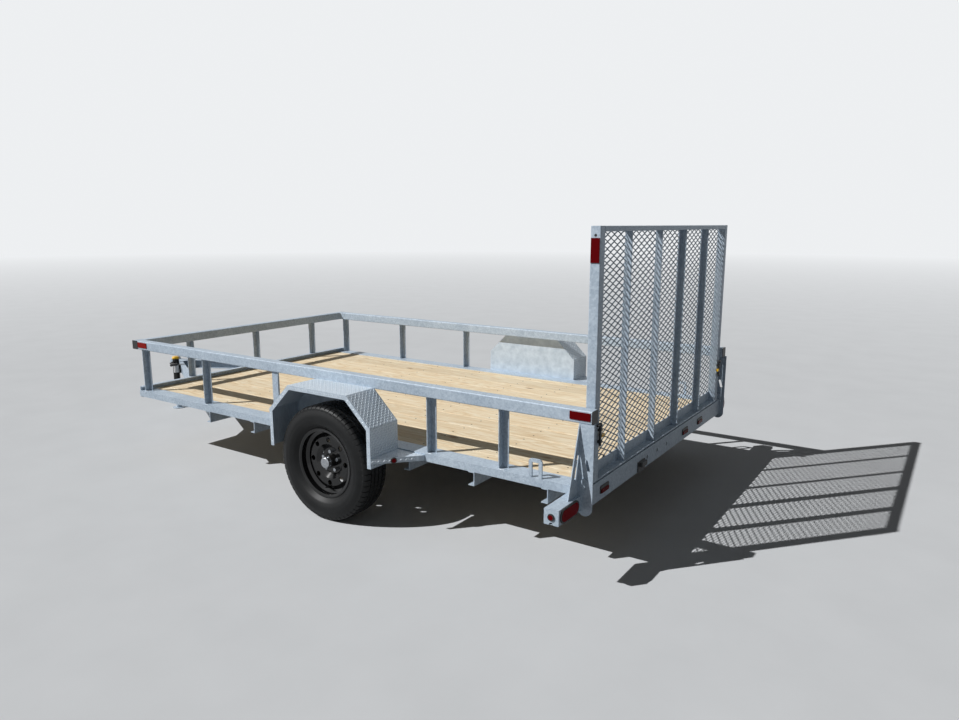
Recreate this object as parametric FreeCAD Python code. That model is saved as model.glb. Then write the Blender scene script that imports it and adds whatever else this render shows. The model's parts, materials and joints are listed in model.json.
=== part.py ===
"""Open single-axle utility trailer with angle posts, a plank deck and a mesh ramp gate.

Millimetres. +X points forward to the coupler, +Y to the left side and +Z up. The wheels and the jack foot
stand at Z = 0. While the pieces are made, X = 0 is the rear end of the top rails; put() moves each piece so
that the finished trailer is centred on X = 0.
"""
import FreeCAD, Part
import math
import os

from FreeCAD import Vector

os.makedirs("parts", exist_ok=True)

# Top rails: square tube round three sides
rail_length = 3740.0
half_width = 1078.0
tube = 63.5
tube_wall = 3.2
tube_round = 6.0
rail_top = 831.0
plug_t = 3.0

# Lower frame: an angle on each side whose flange holds the planks down
flange_top = 453.0
flange_width = 110.0
plate_t = 5.0
plank_t = 38.0
plank_gap = 4.0
plank_count = 11
plank_round = 3.0

# Posts: steel angles between the lower frame and the top rail
post_leg = 40.0
turned_post_leg = 52.0
post_inset = 15.0
rear_side_post_x = (519.0, 981.0)
turned_post_setback = 1523.0
front_side_post_setback = (804.0, 86.0)
front_post_y = (-640.0, 0.0, 640.0)

# Cross members, front rail and rear channel
cross_depth = 76.0
cross_flange = 38.0
rear_cross_x = (240.0, 676.0, 1112.0)
axle_cross_gap = 81.0
front_cross_setback = (1756.0, 1320.0, 858.0)
front_rail_rise = 32.0
front_rail_flange = 38.0
front_rail_setback = 38.0
rear_channel_x = 15.0
rear_channel_depth = 102.0
rear_post_width = 64.0

# Tongue, coupler and jack
tongue_depth = 76.0
tongue_flange = 38.0
tongue_slope = 0.53
tongue_reach = 1055.0
tongue_nose_half = 38.0
gusset_length = 190.0
coupler_reach = 122.0
coupler_hood = 30.0
ball_r = 25.4
ball_fit = 0.2
ball_z = 388.0
socket_drop = 20.32
latch_lever_front = 64.0
latch_lever_back = 44.0
latch_rise = 44.0
latch_foot = 46.0
latch_half = 10.0
latch_t = 8.0
socket_wall = 7.0
coupler_wall = 4.0
coupler_lap = 95.0
coupler_neck_half = 32.0
jack_setback = 180.0
jack_plate_t = 8.0
jack_plate_half = 45.0
jack_tube_r = 28.5
jack_wall = 4.0
jack_fit = 0.4
jack_bottom = 196.0
jack_top = 462.0
jack_cap_t = 21.0
jack_cap_lap = 3.0
jack_cap_bevel = 9.0
jack_saddle_half = 18.0
jack_travel = 130.0
jack_end_gap = 8.0
jack_foot_r = 55.0
jack_foot_t = 6.0
crank_r = 6.0
crank_boss_r = 12.0
crank_boss_t = 14.0
crank_offset = 26.0
crank_reach = 96.0
crank_grip_r = 11.0
crank_grip_t = 62.0
crank_drop = 36.0

# Wheels and axle
axle_x = 1571.0
tyre_r = 338.0
tyre_width = 205.0
tyre_gap = 7.0
rim_r = 190.5
rim_flange_h = 13.5
rim_lip = 6.0
well_half = 26.0
well_ramp = 12.0
well_offset = -4.0
disc_t = 6.0
disc_bore_fit = 1.0
disc_dish = 26.0
disc_seat_r = 76.0
disc_bowl_r = 96.0
disc_ring_r = 145.0
bowl_round = 14.0
bead_gap = 1.5
bead_play = 1.0
tyre_wall = 11.0
shoulder_in = 38.0
shoulder_drop = 27.0
shoulder_bulge = (5.0, 6.0)
rim_well_r = 168.0
rim_half = 73.0
rim_t = 4.0
hand_hole_count = 8
hand_hole_r = 15.5
hand_hole_circle_r = 128.0
lug_count = 5
lug_circle_r = 57.15
lug_r = 6.0
stud_hole_fit = 1.0
nut_r = 11.0
nut_length = 20.0
hub_r = 36.0
hub_flange_r = 72.0
hub_flange_t = 10.0
hub_length = 96.0
hub_reach = 44.0
hub_end_wall = 3.0
cap_r = 33.0
cap_length = 26.0
cap_round = 8.0
spindle_r = 17.0
spindle_fit = 0.05
spindle_setback = 8.0
axle_r = 30.0
axle_drop = 167.0
arm_t = 26.0
arm_gap = 4.0
arm_lap = 2.0

# Leaf springs and their hangers
spring_inset = 60.0
spring_width = 45.0
spring_half_span = 330.0
spring_rise = 50.0
leaf_t = 7.0
leaf_count = 4
leaf_step = 78.0
eye_r = 15.0
eye_hole_r = 7.0
seat_t = 6.0
clamp_reach = 14.0
clamp_wrap = 2.0
seat_half = 38.0
hanger_t = 6.0
hanger_cheek_drop = 4.0
hanger_cheek_gap = 1.0
hanger_bolt_reach = 8.0
hanger_bolt_fit = 0.5
hanger_half = 26.0
u_bolt_r = 6.0
u_bolt_gap = 4.0
u_bolt_lap = 1.0
tie_plate_t = 8.0

# Fenders and the steps behind them
fender_width = 225.0
fender_end_clear = 59.0
fender_half_flat = 230.0
fender_top_clear = 97.0
fender_shoulder_drop = 161.0
fender_tip_rise = 51.0
fender_t = 3.0
fender_lip = 26.0
step_reach = 190.0
step_run = 165.0
step_nose = 40.0
step_top = 446.0
step_lip = 30.0

# Rear posts, light boxes and hinge
wing_reach = 104.0
ear_overhang = 14.0
ear_drop = 135.0
slot_r = 8.0
ear_slot_ends = ((22.0, 588.0), (10.0, 548.0))
wing_slot_ends = ((12.0, 611.0), (36.0, 510.0))
box_x = 43.0
box_size = 76.2
box_bottom = 339.0
box_wall = 3.0
box_notch_r = 12.0
oval_half = 54.0
oval_r = 37.0
oval_hole_r = 33.0
lens_r = 28.0
lens_reach = 8.0
grommet_t = 6.0
oval_inset = 104.0
hinge_x = 28.0
hinge_z = 490.0
pin_r = 8.0
pin_fit = 0.08
pin_head_r = 15.0
pin_head_t = 8.0
pin_tail = 3.0
hinge_block = 10.0

# Ramp gate
gate_clear = 8.5
gate_x = 16.0
gate_t = 50.8
gate_post = 50.8
gate_bottom = 461.0
gate_top = 1672.0
gate_sill = 64.0
gate_head = 26.0
gate_wall = 3.0
gate_round = 5.0
rib_leg = 38.0
rib_y = (620.0, 200.0)
mesh_t = 3.0
mesh_strand = 5.0
mesh_row = 50.8
mesh_column = 101.6
mesh_lap = 16.0

# Lamps, reflectors and small fittings
reflector_length = 107.0
reflector_height = 38.0
reflector_t = 4.0
reflector_gap = 6.0
reflector_rise = 3.0
gate_reflector_length = 112.0
gate_reflector_inset = 4.0
gate_reflector_drop = 54.0
marker_r = 12.0
marker_t = 7.0
channel_lamp_y = (-620.0, -326.0, 880.0)
channel_lamp_length = 100.0
channel_lamp_height = 40.0
channel_lamp_round = 8.0
channel_lamp_base_t = 4.0
channel_lens_length = 84.0
channel_lens_height = 20.0
channel_lens_t = 5.0
channel_lens_drop = 7.0
channel_hole_y = (0.0, 152.0, 305.0)
channel_hole_r = 12.0
plate_lamp_y = 400.0
plate_lamp_half = 50.0
plate_lamp_reach = 24.0
plate_bracket_t = 6.0
plate_bracket_height = 58.0
plate_lens_half = 34.0
plate_lens_low = 30.0
plate_lens_height = 26.0
loop_x = 295.0
loop_width = 74.0
loop_top = 550.0
loop_bar = 18.0
loop_t = 10.0
latch_inset = 38.0
latch_low = 640.0
latch_high = 745.0
latch_r = 6.5
latch_knob_r = 10.0
latch_gap = 1.0
latch_pin_r = 5.0
latch_pin_reach = 34.0
latch_clip_z = (661.0, 718.0)
latch_clip_half = 6.0
latch_clip_width = 20.0
latch_clip_wrap = 1.0
latch_tab_z = 688.0
latch_tab_reach = 32.0
latch_tab_height = 14.0

# Heights and sides that follow from the sizes above
rail_bottom = rail_top - tube
rail_inner_y = half_width - tube
plank_top = flange_top - plate_t
frame_bottom = plank_top - plank_t
inner_y = half_width - plate_t
spring_y = half_width - spring_inset
rear_channel_flange = rear_post_width - plate_t - rear_channel_x
side_post_x = rear_side_post_x + tuple(rail_length - x for x in front_side_post_setback)
turned_post_x = rail_length - turned_post_setback
cross_x = rear_cross_x + (axle_x - axle_cross_gap,) + tuple(rail_length - x for x in front_cross_setback)
rear_channel_z = flange_top - rear_channel_depth
front_face_x = rail_length - front_rail_setback
front_web_x = front_face_x - plate_t
front_rail_top = flange_top + front_rail_rise
front_tube_x = rail_length - tube
tongue_top = frame_bottom - plate_t
tongue_z = tongue_top - tongue_depth
tongue_nose_x = rail_length + tongue_reach
ball_x = tongue_nose_x + coupler_reach
jack_x = tongue_nose_x - jack_setback
jack_leg_top = jack_top - jack_wall - jack_travel - jack_end_gap
axle_z = frame_bottom - axle_drop
fender_outer_y = half_width + fender_width
fender_half_length = tyre_r + fender_end_clear
fender_top = 2 * tyre_r + fender_top_clear
fender_shoulder = fender_top - fender_shoulder_drop
fender_tip = tyre_r + fender_tip_rise
oval_y = fender_outer_y - oval_inset
tyre_in_y = half_width + fender_t + tyre_gap
wheel_y = tyre_in_y + tyre_width / 2
gate_half = rail_inner_y - gate_clear
latch_y = gate_half - latch_inset
gate_front_x = gate_x + gate_t
rear_end_x = min(-ear_overhang, rear_channel_x - plate_lamp_reach)
front_end_x = ball_x + ball_r + ball_fit + socket_wall
x_mid = (rear_end_x + front_end_x) / 2

made = {}


def put(name, *solids):
    """Keeps solids under a node's name, moved to the finished frame."""
    shape = Part.makeCompound(list(solids)) if len(solids) > 1 else solids[0]
    made[name] = shape.translated(Vector(-x_mid, 0, 0))


def box(x0, x1, y0, y1, z0, z1):
    """A block between two corners."""
    return Part.makeBox(x1 - x0, y1 - y0, z1 - z0, Vector(x0, y0, z0))


def rounded(block, r, axis):
    """The block with its edges along an axis rounded."""
    n = Vector(*axis)
    return block.makeFillet(r, [e for e in block.Edges if abs(e.tangentAt(e.FirstParameter).dot(n)) > 0.9])


def sheet(points, thickness):
    """A flat outline of 3-D points, pushed along the thickness vector."""
    loop = [Vector(*p) for p in points]
    return Part.Face(Part.makePolygon(loop + loop[:1])).extrude(Vector(*thickness))


def rod(x, y, z, r, length, axis):
    """A round bar from a point along an axis."""
    return Part.makeCylinder(r, length, Vector(x, y, z), Vector(*axis))


def slot(ends, r, axis, depth):
    """A round-ended bar between two 3-D points, pushed along an axis by depth."""
    a, b = (Vector(*p) for p in ends)
    n = Vector(*axis)
    side = n.cross(b - a).normalize() * r
    body = Part.Face(Part.makePolygon([a + side, b + side, b - side, a - side, a + side])).extrude(n * depth)
    return body.fuse([Part.makeCylinder(r, depth, p, n) for p in (a, b)]).removeSplitter()


def turned(points, y):
    """Turns an outline about the wheel's axis at y.

    A row of two numbers is a corner: the offset from the wheel's middle and the radius. A row of four is the
    middle and the end of an arc that starts at the row before it.
    """
    rows = list(points) + [points[0]]
    edges = []
    for before, row in zip(rows, rows[1:]):
        a, *rest = [Vector(axle_x, y + w, tyre_r + r)
                    for w, r in (before[-2:], *zip(row[0::2], row[1::2]))]
        edges.append(Part.Arc(a, *rest).toShape() if len(rest) == 2 else Part.makeLine(a, *rest))
    face = Part.Face(Part.Wire(edges))
    return face.revolve(Vector(axle_x, 0, tyre_r), Vector(0, 1, 0), 360)


def mirrored(solid):
    """The same piece on the right side."""
    return solid.mirror(Vector(0, 0, 0), Vector(0, 1, 0))


def both(solid):
    """The left piece and its mirror image."""
    return [solid, mirrored(solid)]


def fused(first, *rest):
    """One solid without leftover seams."""
    return first.fuse(list(rest)).removeSplitter()


# Top rails with black plugs in their open ends
left_rail = box(0, front_tube_x, rail_inner_y, half_width, rail_bottom, rail_top)
left_rail = rounded(left_rail, tube_round, (1, 0, 0))
left_rail = left_rail.cut(box(-1, front_tube_x + 1, rail_inner_y + tube_wall, half_width - tube_wall,
                              rail_bottom + tube_wall, rail_top - tube_wall))
front_rail = box(front_tube_x, rail_length, -half_width, half_width, rail_bottom, rail_top)
front_rail = rounded(front_rail, tube_round, (0, 1, 0))
front_rail = front_rail.cut(box(front_tube_x + tube_wall, rail_length - tube_wall, -half_width - 1,
                                half_width + 1, rail_bottom + tube_wall, rail_top - tube_wall))
rear_plug = rounded(box(-plug_t, 0, rail_inner_y, half_width, rail_bottom, rail_top), tube_round, (1, 0, 0))
side_plug = rounded(box(front_tube_x, rail_length, half_width, half_width + plug_t, rail_bottom, rail_top),
                    tube_round, (0, 1, 0))
put("top_rail_sides", *both(left_rail))
put("top_rail_front", front_rail)
put("rail_end_plugs", *both(rear_plug), *both(side_plug))

# Side frame angles, from the rear posts to the front frame rail
side_frame = fused(
    box(rear_post_width, front_web_x, half_width - flange_width, half_width, plank_top, flange_top),
    box(rear_post_width, front_face_x, inner_y, half_width, frame_bottom, flange_top),
)
put("side_frames", *both(side_frame))

# Front frame rail: a channel between the side frames that opens to the rear and holds the planks' ends
front_low = frame_bottom - plate_t
front_open_x = front_face_x - front_rail_flange
front_frame = box(front_open_x, front_face_x, -inner_y, inner_y, front_low, front_rail_top)
front_frame = front_frame.cut(box(front_open_x - 1, front_web_x, -inner_y - 1, inner_y + 1, frame_bottom,
                                  front_rail_top - plate_t))
put("front_frame_rail", front_frame)


# Rear frame channel, open forward, with lamps on its web and round holes through it
def lamp_block(x0, x1, y, z, length, height, r):
    """A lamp's block in front of the web, with its four long edges rounded."""
    return rounded(box(x0, x1, y - length / 2, y + length / 2, z - height / 2, z + height / 2), r, (1, 0, 0))


rear_frame = box(rear_channel_x, rear_channel_x + rear_channel_flange, -inner_y, inner_y, rear_channel_z,
                 flange_top)
rear_frame = rear_frame.cut(box(rear_channel_x + plate_t, rear_post_width, -inner_y - 1, inner_y + 1,
                                rear_channel_z + plate_t, plank_top))
channel_mid_z = (rear_channel_z + flange_top) / 2
channel_holes = [rod(0, y, channel_mid_z, channel_hole_r, rear_channel_x + plate_t + 1, (1, 0, 0))
                 for y in channel_hole_y]
put("rear_frame_channel", rear_frame.cut(channel_holes))
base_x = rear_channel_x - channel_lamp_base_t
channel_bases = [lamp_block(base_x, rear_channel_x, y, channel_mid_z, channel_lamp_length,
                            channel_lamp_height, channel_lamp_round)
                 for y in channel_lamp_y]
channel_lamps = [lamp_block(base_x - channel_lens_t, base_x, y, channel_mid_z - channel_lens_drop,
                            channel_lens_length, channel_lens_height, channel_lamp_round / 2)
                 for y in channel_lamp_y]

# Deck planks under the side flanges, between the webs of the rear channel and of the front rail
plank_width = (2 * inner_y - (plank_count - 1) * plank_gap) / plank_count
planks = []
for i in range(plank_count):
    y0 = -inner_y + i * (plank_width + plank_gap)
    plank = box(rear_channel_x + plate_t, front_web_x, y0, y0 + plank_width, frame_bottom, plank_top)
    planks.append(rounded(plank, plank_round, (1, 0, 0)))
put("deck_planks", *planks)

# Cross members: channels under the planks, with their open side to the front
cross_members = []
for x in cross_x:
    x0 = x - cross_flange / 2
    channel = box(x0, x0 + cross_flange, -half_width, half_width, frame_bottom - cross_depth, frame_bottom)
    cross_members.append(channel.cut(box(x0 + plate_t, x0 + cross_flange + 1, -half_width - 1, half_width + 1,
                                         frame_bottom - cross_depth + plate_t, frame_bottom - plate_t)))
put("cross_members", *cross_members)


# Posts: angles between the lower frame and the top rails
def angle_post(x_front, y0, z0, leg, flip):
    """An angle post whose front leg starts at y0; flip puts the lengthwise leg on the other edge."""
    y_leg = y0 + leg - plate_t if flip else y0
    return fused(
        box(x_front - plate_t, x_front, y0, y0 + leg, z0, rail_bottom),
        box(x_front - leg, x_front, y_leg, y_leg + plate_t, z0, rail_bottom),
    )


post_edge = half_width - post_inset
left_posts = [angle_post(x, post_edge - post_leg, flange_top, post_leg, False) for x in side_post_x]
left_posts.append(angle_post(turned_post_x, post_edge - turned_post_leg, flange_top, turned_post_leg, True))
right_posts = [angle_post(x, -post_edge, flange_top, post_leg, False) for x in side_post_x + (turned_post_x,)]
front_posts = [angle_post(front_face_x, y - post_leg / 2, front_rail_top, post_leg, False)
               for y in front_post_y]
put("rail_posts", *left_posts, *right_posts, *front_posts)

# Rear posts: an ear plate along the side and a wing plate that flares out to the light box
ear_r = (rear_post_width + ear_overhang) / 2
ear_x = rear_post_width - ear_r
ear_low = flange_top - ear_drop + ear_r
ear = slot(((ear_x, inner_y, rail_bottom), (ear_x, inner_y, ear_low)), ear_r, (0, 1, 0), plate_t)
ear = ear.common(box(-ear_overhang, rear_post_width, inner_y, half_width, 0, rail_bottom))
wing_x = rear_post_width - plate_t
box_top = box_bottom + box_size
wing = sheet([(wing_x, rail_inner_y, rail_bottom), (wing_x, half_width, rail_bottom),
              (wing_x, half_width + wing_reach, box_top), (wing_x, half_width, box_top),
              (wing_x, half_width, flange_top), (wing_x, rail_inner_y, flange_top)], (plate_t, 0, 0))
wing_slot = slot([(wing_x - 1, half_width + y, z) for y, z in wing_slot_ends], slot_r, (1, 0, 0), plate_t + 2)
ear_slot = slot([(x, inner_y - 1, z) for x, z in ear_slot_ends], slot_r, (0, 1, 0), plate_t + 2)
pin_hole = rod(hinge_x, inner_y - 1, hinge_z, pin_r, plate_t + 2, (0, 1, 0))
rear_post = fused(ear, wing).cut([wing_slot, ear_slot, pin_hole])
put("rear_posts", *both(rear_post))

# Hinge pins with a head outside the ear
block_in_y = gate_half - hinge_block
pin_end_y = block_in_y - pin_tail
hinge_pin = fused(rod(hinge_x, pin_end_y, hinge_z, pin_r, half_width - pin_end_y, (0, 1, 0)),
                  rod(hinge_x, half_width, hinge_z, pin_head_r, pin_head_t, (0, 1, 0)))
put("hinge_pins", *both(hinge_pin))

# Light boxes: square tube stubs with a notched end plate and an oval opening to the rear
box_mid_x = box_x + box_size / 2
box_mid_z = box_bottom + box_size / 2
light_box = rounded(box(box_x, box_x + box_size, half_width, fender_outer_y, box_bottom, box_top), box_wall,
                    (0, 1, 0))
light_box = light_box.cut(box(box_x + box_wall, box_x + box_size - box_wall, half_width - 1,
                              fender_outer_y - box_wall, box_bottom + box_wall, box_top - box_wall))
oval_ends = ((box_x, oval_y - oval_half, box_mid_z), (box_x, oval_y + oval_half, box_mid_z))
notch = rod(box_mid_x, fender_outer_y - box_wall - 1, box_bottom, box_notch_r, box_wall + 2, (0, 1, 0))
light_box = light_box.cut([slot(oval_ends, oval_hole_r, (1, 0, 0), box_wall + 1), notch])
put("light_boxes", *both(light_box))

# Black lamp bases: a grommet round each oval lens, and a block behind each lamp of the rear channel
grommet = slot(oval_ends, oval_hole_r, (1, 0, 0), box_wall + grommet_t)
grommet = fused(grommet, slot(oval_ends, oval_r, (1, 0, 0), grommet_t).translated(Vector(-grommet_t, 0, 0)))
lens = slot(oval_ends, lens_r, (1, 0, 0), box_wall + grommet_t + lens_reach)
lens = lens.translated(Vector(-lens_reach, 0, 0))
put("tail_lamp_grommets", *both(grommet.cut(lens)), *channel_bases)
put("tail_lamps", *both(lens))

# Marker lamps on the light boxes' ends, on the steps' slanted edges and on the rear channel
end_marker = rod(box_mid_x, fender_outer_y, box_mid_z, marker_r, marker_t, (0, 1, 0))
step_x = axle_x - fender_half_length
step_edge_run = fender_outer_y - half_width - step_nose
step_edge_length = math.hypot(step_run, step_edge_run)
step_out = Vector(-step_edge_run / step_edge_length, step_run / step_edge_length, 0)
step_marker = rod(step_x - step_run / 2, half_width + step_nose + step_edge_run / 2, step_top - step_lip / 2,
                  marker_r, marker_t, step_out)
put("marker_lamps", *both(end_marker), *both(step_marker), *channel_lamps)

# Number-plate bracket under the rear channel
bracket_x = rear_channel_x - plate_bracket_t
plate_bracket = box(bracket_x, rear_channel_x, plate_lamp_y - plate_lamp_half, plate_lamp_y + plate_lamp_half,
                    rear_channel_z, rear_channel_z + plate_bracket_height)
plate_lamp = box(rear_channel_x - plate_lamp_reach, bracket_x, plate_lamp_y - plate_lens_half,
                 plate_lamp_y + plate_lens_half, rear_channel_z + plate_lens_low,
                 rear_channel_z + plate_lens_low + plate_lens_height)
put("plate_lamp", fused(plate_bracket, plate_lamp))

# Reflectors at the rear and front ends of the top rails
reflector_z = (rail_top + rail_bottom) / 2 - reflector_height / 2 + reflector_rise
rear_reflector = box(reflector_gap, reflector_gap + reflector_length, half_width, half_width + reflector_t,
                     reflector_z, reflector_z + reflector_height)
front_reflector = box(front_tube_x - reflector_gap - reflector_length, front_tube_x - reflector_gap,
                      half_width, half_width + reflector_t, reflector_z, reflector_z + reflector_height)
put("rear_reflectors", *both(rear_reflector))
put("front_reflectors", *both(front_reflector))

# Tie-down loops on the side frame
loop_half = loop_width / 2
loop_in = loop_half - loop_bar
loop = box(loop_x - loop_half, loop_x + loop_half, half_width - loop_t, half_width, flange_top, loop_top)
loop = loop.cut(box(loop_x - loop_in, loop_x + loop_in, half_width - loop_t - 1, half_width + 1,
                    flange_top - 1, loop_top - loop_bar))
loop_corners = [e for e in loop.Edges if abs(e.tangentAt(e.FirstParameter).y) > 0.9
                and e.BoundBox.ZMax > loop_top - 1]
loop = loop.makeFillet(loop_bar - 1, loop_corners)
put("tie_loops", *both(loop))


# Fenders: a folded strip over the wheel with a turned-down lip and a plain inner panel
def fender_line(inset):
    """The fender's side outline, moved inwards by inset."""
    k = inset * (math.sqrt(2) - 1)
    return [(fender_half_length - inset, fender_tip), (fender_half_length - inset, fender_shoulder - k),
            (fender_half_flat - k, fender_top - inset), (k - fender_half_flat, fender_top - inset),
            (inset - fender_half_length, fender_shoulder - k), (inset - fender_half_length, fender_tip)]


def fender_solid(inset, y0, y1):
    """A block with the fender's outline between two Y planes."""
    return sheet([(axle_x + x, y0, z) for x, z in fender_line(inset)], (0, y1 - y0, 0))


fender = fender_solid(0, half_width, fender_outer_y)
fender = fender.cut(fender_solid(fender_t, half_width + fender_t, fender_outer_y - fender_t))
fender = fender.cut(fender_solid(fender_lip, half_width + fender_t, fender_outer_y + 1))
fender = fender.cut(box(axle_x - fender_half_length - 1, axle_x + fender_half_length + 1, half_width - 1,
                        half_width + fender_t, 0, frame_bottom))
put("fender_left", fender)
put("fender_right", mirrored(fender))

# Steps behind the fenders: a plate with a slanted edge, a round nose at the frame and a lip under it
corner = Vector(step_x, half_width, 0)
outer = Vector(step_x, fender_outer_y, 0)
nose = Vector(step_x - step_run, half_width + step_nose, 0)
rear = Vector(step_x - step_reach, half_width, 0)
bulge = (nose + rear) / 2 + step_out * (step_nose / 8)
step_edge = [Part.makeLine(corner, outer), Part.makeLine(outer, nose), Part.Arc(nose, bulge, rear).toShape(),
             Part.makeLine(rear, corner)]
step_face = Part.Face(Part.Wire(step_edge))
step = step_face.extrude(Vector(0, 0, step_lip)).translated(Vector(0, 0, step_top - step_lip))
under = step_face.makeOffset2D(-fender_t).extrude(Vector(0, 0, step_lip - fender_t))
step = step.cut(under.translated(Vector(0, 0, step_top - step_lip)))
put("fender_steps", *both(step))


# Tongue: two channels that meet at the nose, with gusset plates at the front rail
def tongue_y(x, inset):
    """The tongue's outer side at x, moved inwards square to it by inset."""
    return tongue_nose_half + tongue_slope * (tongue_nose_x - x) - inset * math.hypot(1, tongue_slope)


def tongue_bar(x0, x1, inset0, inset1, z0, z1):
    """A slanted bar between two insets of the tongue's outer side."""
    plan = [(x0, tongue_y(x0, inset0), z0), (x1, tongue_y(x1, inset0), z0), (x1, tongue_y(x1, inset1), z0),
            (x0, tongue_y(x0, inset1), z0)]
    return sheet(plan, (0, 0, z1 - z0))


tongue_x0 = cross_x[-1] + cross_flange / 2
bar = tongue_bar(tongue_x0, tongue_nose_x, 0, tongue_flange, tongue_z, tongue_top)
bar = bar.cut(tongue_bar(tongue_x0 - 1, tongue_nose_x + 1, plate_t, tongue_flange + 1, tongue_z + plate_t,
                         tongue_top - plate_t))
gusset_x = front_face_x + gusset_length
gusset_y = tongue_y(front_face_x, 0)
gusset = sheet([(front_face_x, gusset_y, tongue_top), (front_face_x, gusset_y + gusset_length, tongue_top),
                (gusset_x, tongue_y(gusset_x, 0), tongue_top),
                (gusset_x, tongue_y(gusset_x, tongue_flange), tongue_top),
                (front_face_x, tongue_y(front_face_x, tongue_flange), tongue_top)], (0, 0, plate_t))
put("tongue_frame", fused(bar, mirrored(bar), gusset, mirrored(gusset)))

# Coupler: a cap over the nose, a hollow neck and the ball socket
cap_x = tongue_nose_x - coupler_lap


def coupler_plan(x0, side, hood, neck_half, z0, height):
    """The cap's plan: along both tongue bars from x0 to the nose, then in to the neck."""
    half = [(x0, tongue_y(x0, -side), z0), (tongue_nose_x, tongue_y(tongue_nose_x, -side), z0),
            (tongue_nose_x + hood, neck_half, z0)]
    return sheet(half + [(x, -y, z) for x, y, z in reversed(half)], (0, 0, height))


cap_outer = coupler_plan(cap_x, coupler_wall, coupler_hood, coupler_neck_half, tongue_z,
                         tongue_depth + coupler_wall)
cap_inner = coupler_plan(cap_x - 1, 0, coupler_hood - coupler_wall, coupler_neck_half - coupler_wall,
                         tongue_z - 1, tongue_depth + 1)
socket_z = ball_z - socket_drop
socket_r = ball_r + ball_fit
shell_r = socket_r + socket_wall
neck_x = tongue_nose_x + coupler_hood
neck_top = tongue_top + coupler_wall
neck = box(neck_x - coupler_wall / 2, ball_x, -coupler_neck_half, coupler_neck_half, socket_z, neck_top)
neck_inner = box(neck_x - coupler_wall - 1, ball_x - shell_r, coupler_wall - coupler_neck_half,
                 coupler_neck_half - coupler_wall, socket_z - 1, tongue_top)
centre = Vector(ball_x, 0, ball_z)
shell = Part.makeSphere(shell_r, centre).fuse(rod(ball_x, 0, socket_z, shell_r, socket_drop, (0, 0, 1)))
shell = shell.common(box(ball_x - shell_r, ball_x + shell_r, -shell_r, shell_r, socket_z, ball_z + shell_r))
socket_bore = rod(ball_x, 0, socket_z - 1, socket_r, socket_drop + 1, (0, 0, 1))
socket_hollow = Part.makeSphere(socket_r, centre).fuse(socket_bore)
coupler = fused(cap_outer.cut(cap_inner), neck.cut(neck_inner), shell).cut([socket_hollow, neck_inner])
put("coupler", coupler)
latch_tip_x = tongue_nose_x - latch_lever_back
latch_root_x = tongue_nose_x + latch_lever_front
lever_low = neck_top + latch_t
lever_high = lever_low + latch_t
lever_foot = box(latch_root_x - latch_foot, latch_root_x, -latch_half, latch_half, neck_top, lever_high)
lever = sheet([(latch_root_x, -latch_half, lever_low), (latch_root_x, -latch_half, lever_high),
               (latch_tip_x, -latch_half, lever_low + latch_rise),
               (latch_tip_x, -latch_half, neck_top + latch_rise)], (0, 2 * latch_half, 0))
put("coupler_latch", fused(lever_foot, lever))

# Jack: a plate and a saddle on the left tongue bar, a fixed tube with a cap and crank, and a sliding leg
jack_y = tongue_y(jack_x, -jack_plate_t - jack_tube_r)
plate = tongue_bar(jack_x - jack_plate_half, jack_x + jack_plate_half, 0, -jack_plate_t, tongue_z, tongue_top)
saddle = tongue_bar(jack_x - jack_saddle_half, jack_x + jack_saddle_half, -jack_plate_t,
                    -jack_plate_t - jack_tube_r, tongue_z, tongue_top)
jack_tube = rod(jack_x, jack_y, jack_bottom, jack_tube_r, jack_top - jack_bottom, (0, 0, 1))
bore_r = jack_tube_r - jack_wall
jack_hollow = rod(jack_x, jack_y, jack_bottom - 1, bore_r, jack_top - jack_bottom - jack_wall + 1, (0, 0, 1))
put("jack_body", fused(plate, saddle, jack_tube).cut(jack_hollow))
jack_cap = rod(jack_x, jack_y, jack_top, jack_tube_r + jack_cap_lap, jack_cap_t, (0, 0, 1))
jack_cap_rim = [e for e in jack_cap.Edges if e.BoundBox.ZMin > jack_top + 1]
put("jack_cap", jack_cap.makeChamfer(jack_cap_bevel, jack_cap_rim))
crank_z = jack_top - crank_drop
crank_y = jack_y + jack_tube_r + crank_offset
crank = fused(rod(jack_x, jack_y + jack_tube_r, crank_z, crank_boss_r, crank_boss_t, (0, 1, 0)),
              rod(jack_x, jack_y + jack_tube_r, crank_z, crank_r, crank_offset + crank_r, (0, 1, 0)),
              rod(jack_x - crank_reach, crank_y, crank_z, crank_r, crank_reach + crank_r, (1, 0, 0)),
              rod(jack_x - crank_reach, crank_y, crank_z, crank_grip_r, crank_grip_t, (0, 1, 0)))
put("jack_crank", crank)
leg_r = bore_r - jack_fit
leg = rod(jack_x, jack_y, jack_foot_t, leg_r, jack_leg_top - jack_foot_t, (0, 0, 1))
leg = leg.cut(rod(jack_x, jack_y, jack_foot_t * 3, leg_r - jack_wall, jack_leg_top, (0, 0, 1)))
put("jack_leg", fused(leg, rod(jack_x, jack_y, 0, jack_foot_r, jack_foot_t, (0, 0, 1))))

# Axle: a low tube, an arm up to each spindle and a pad under each spring
arm_y = spring_y + spring_width / 2 + arm_gap
hub_out_y = wheel_y + hub_reach
hub_in_y = hub_out_y - hub_length
spindle_y = hub_out_y - spindle_setback
axle = rod(axle_x, -arm_y - arm_t / 2, axle_z, axle_r, 2 * arm_y + arm_t, (0, 1, 0))
arm = slot(((axle_x, arm_y, axle_z), (axle_x, arm_y, tyre_r)), axle_r + arm_lap, (0, 1, 0), arm_t)
spindle = rod(axle_x, arm_y, tyre_r, spindle_r, spindle_y - arm_y, (0, 1, 0))
pad = box(axle_x - seat_half, axle_x + seat_half, spring_y - spring_width / 2, spring_y + spring_width / 2,
          axle_z, axle_z + axle_r + seat_t)
axle = fused(axle, *both(arm), *both(spindle), *both(pad))
put("axle", axle)

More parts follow.
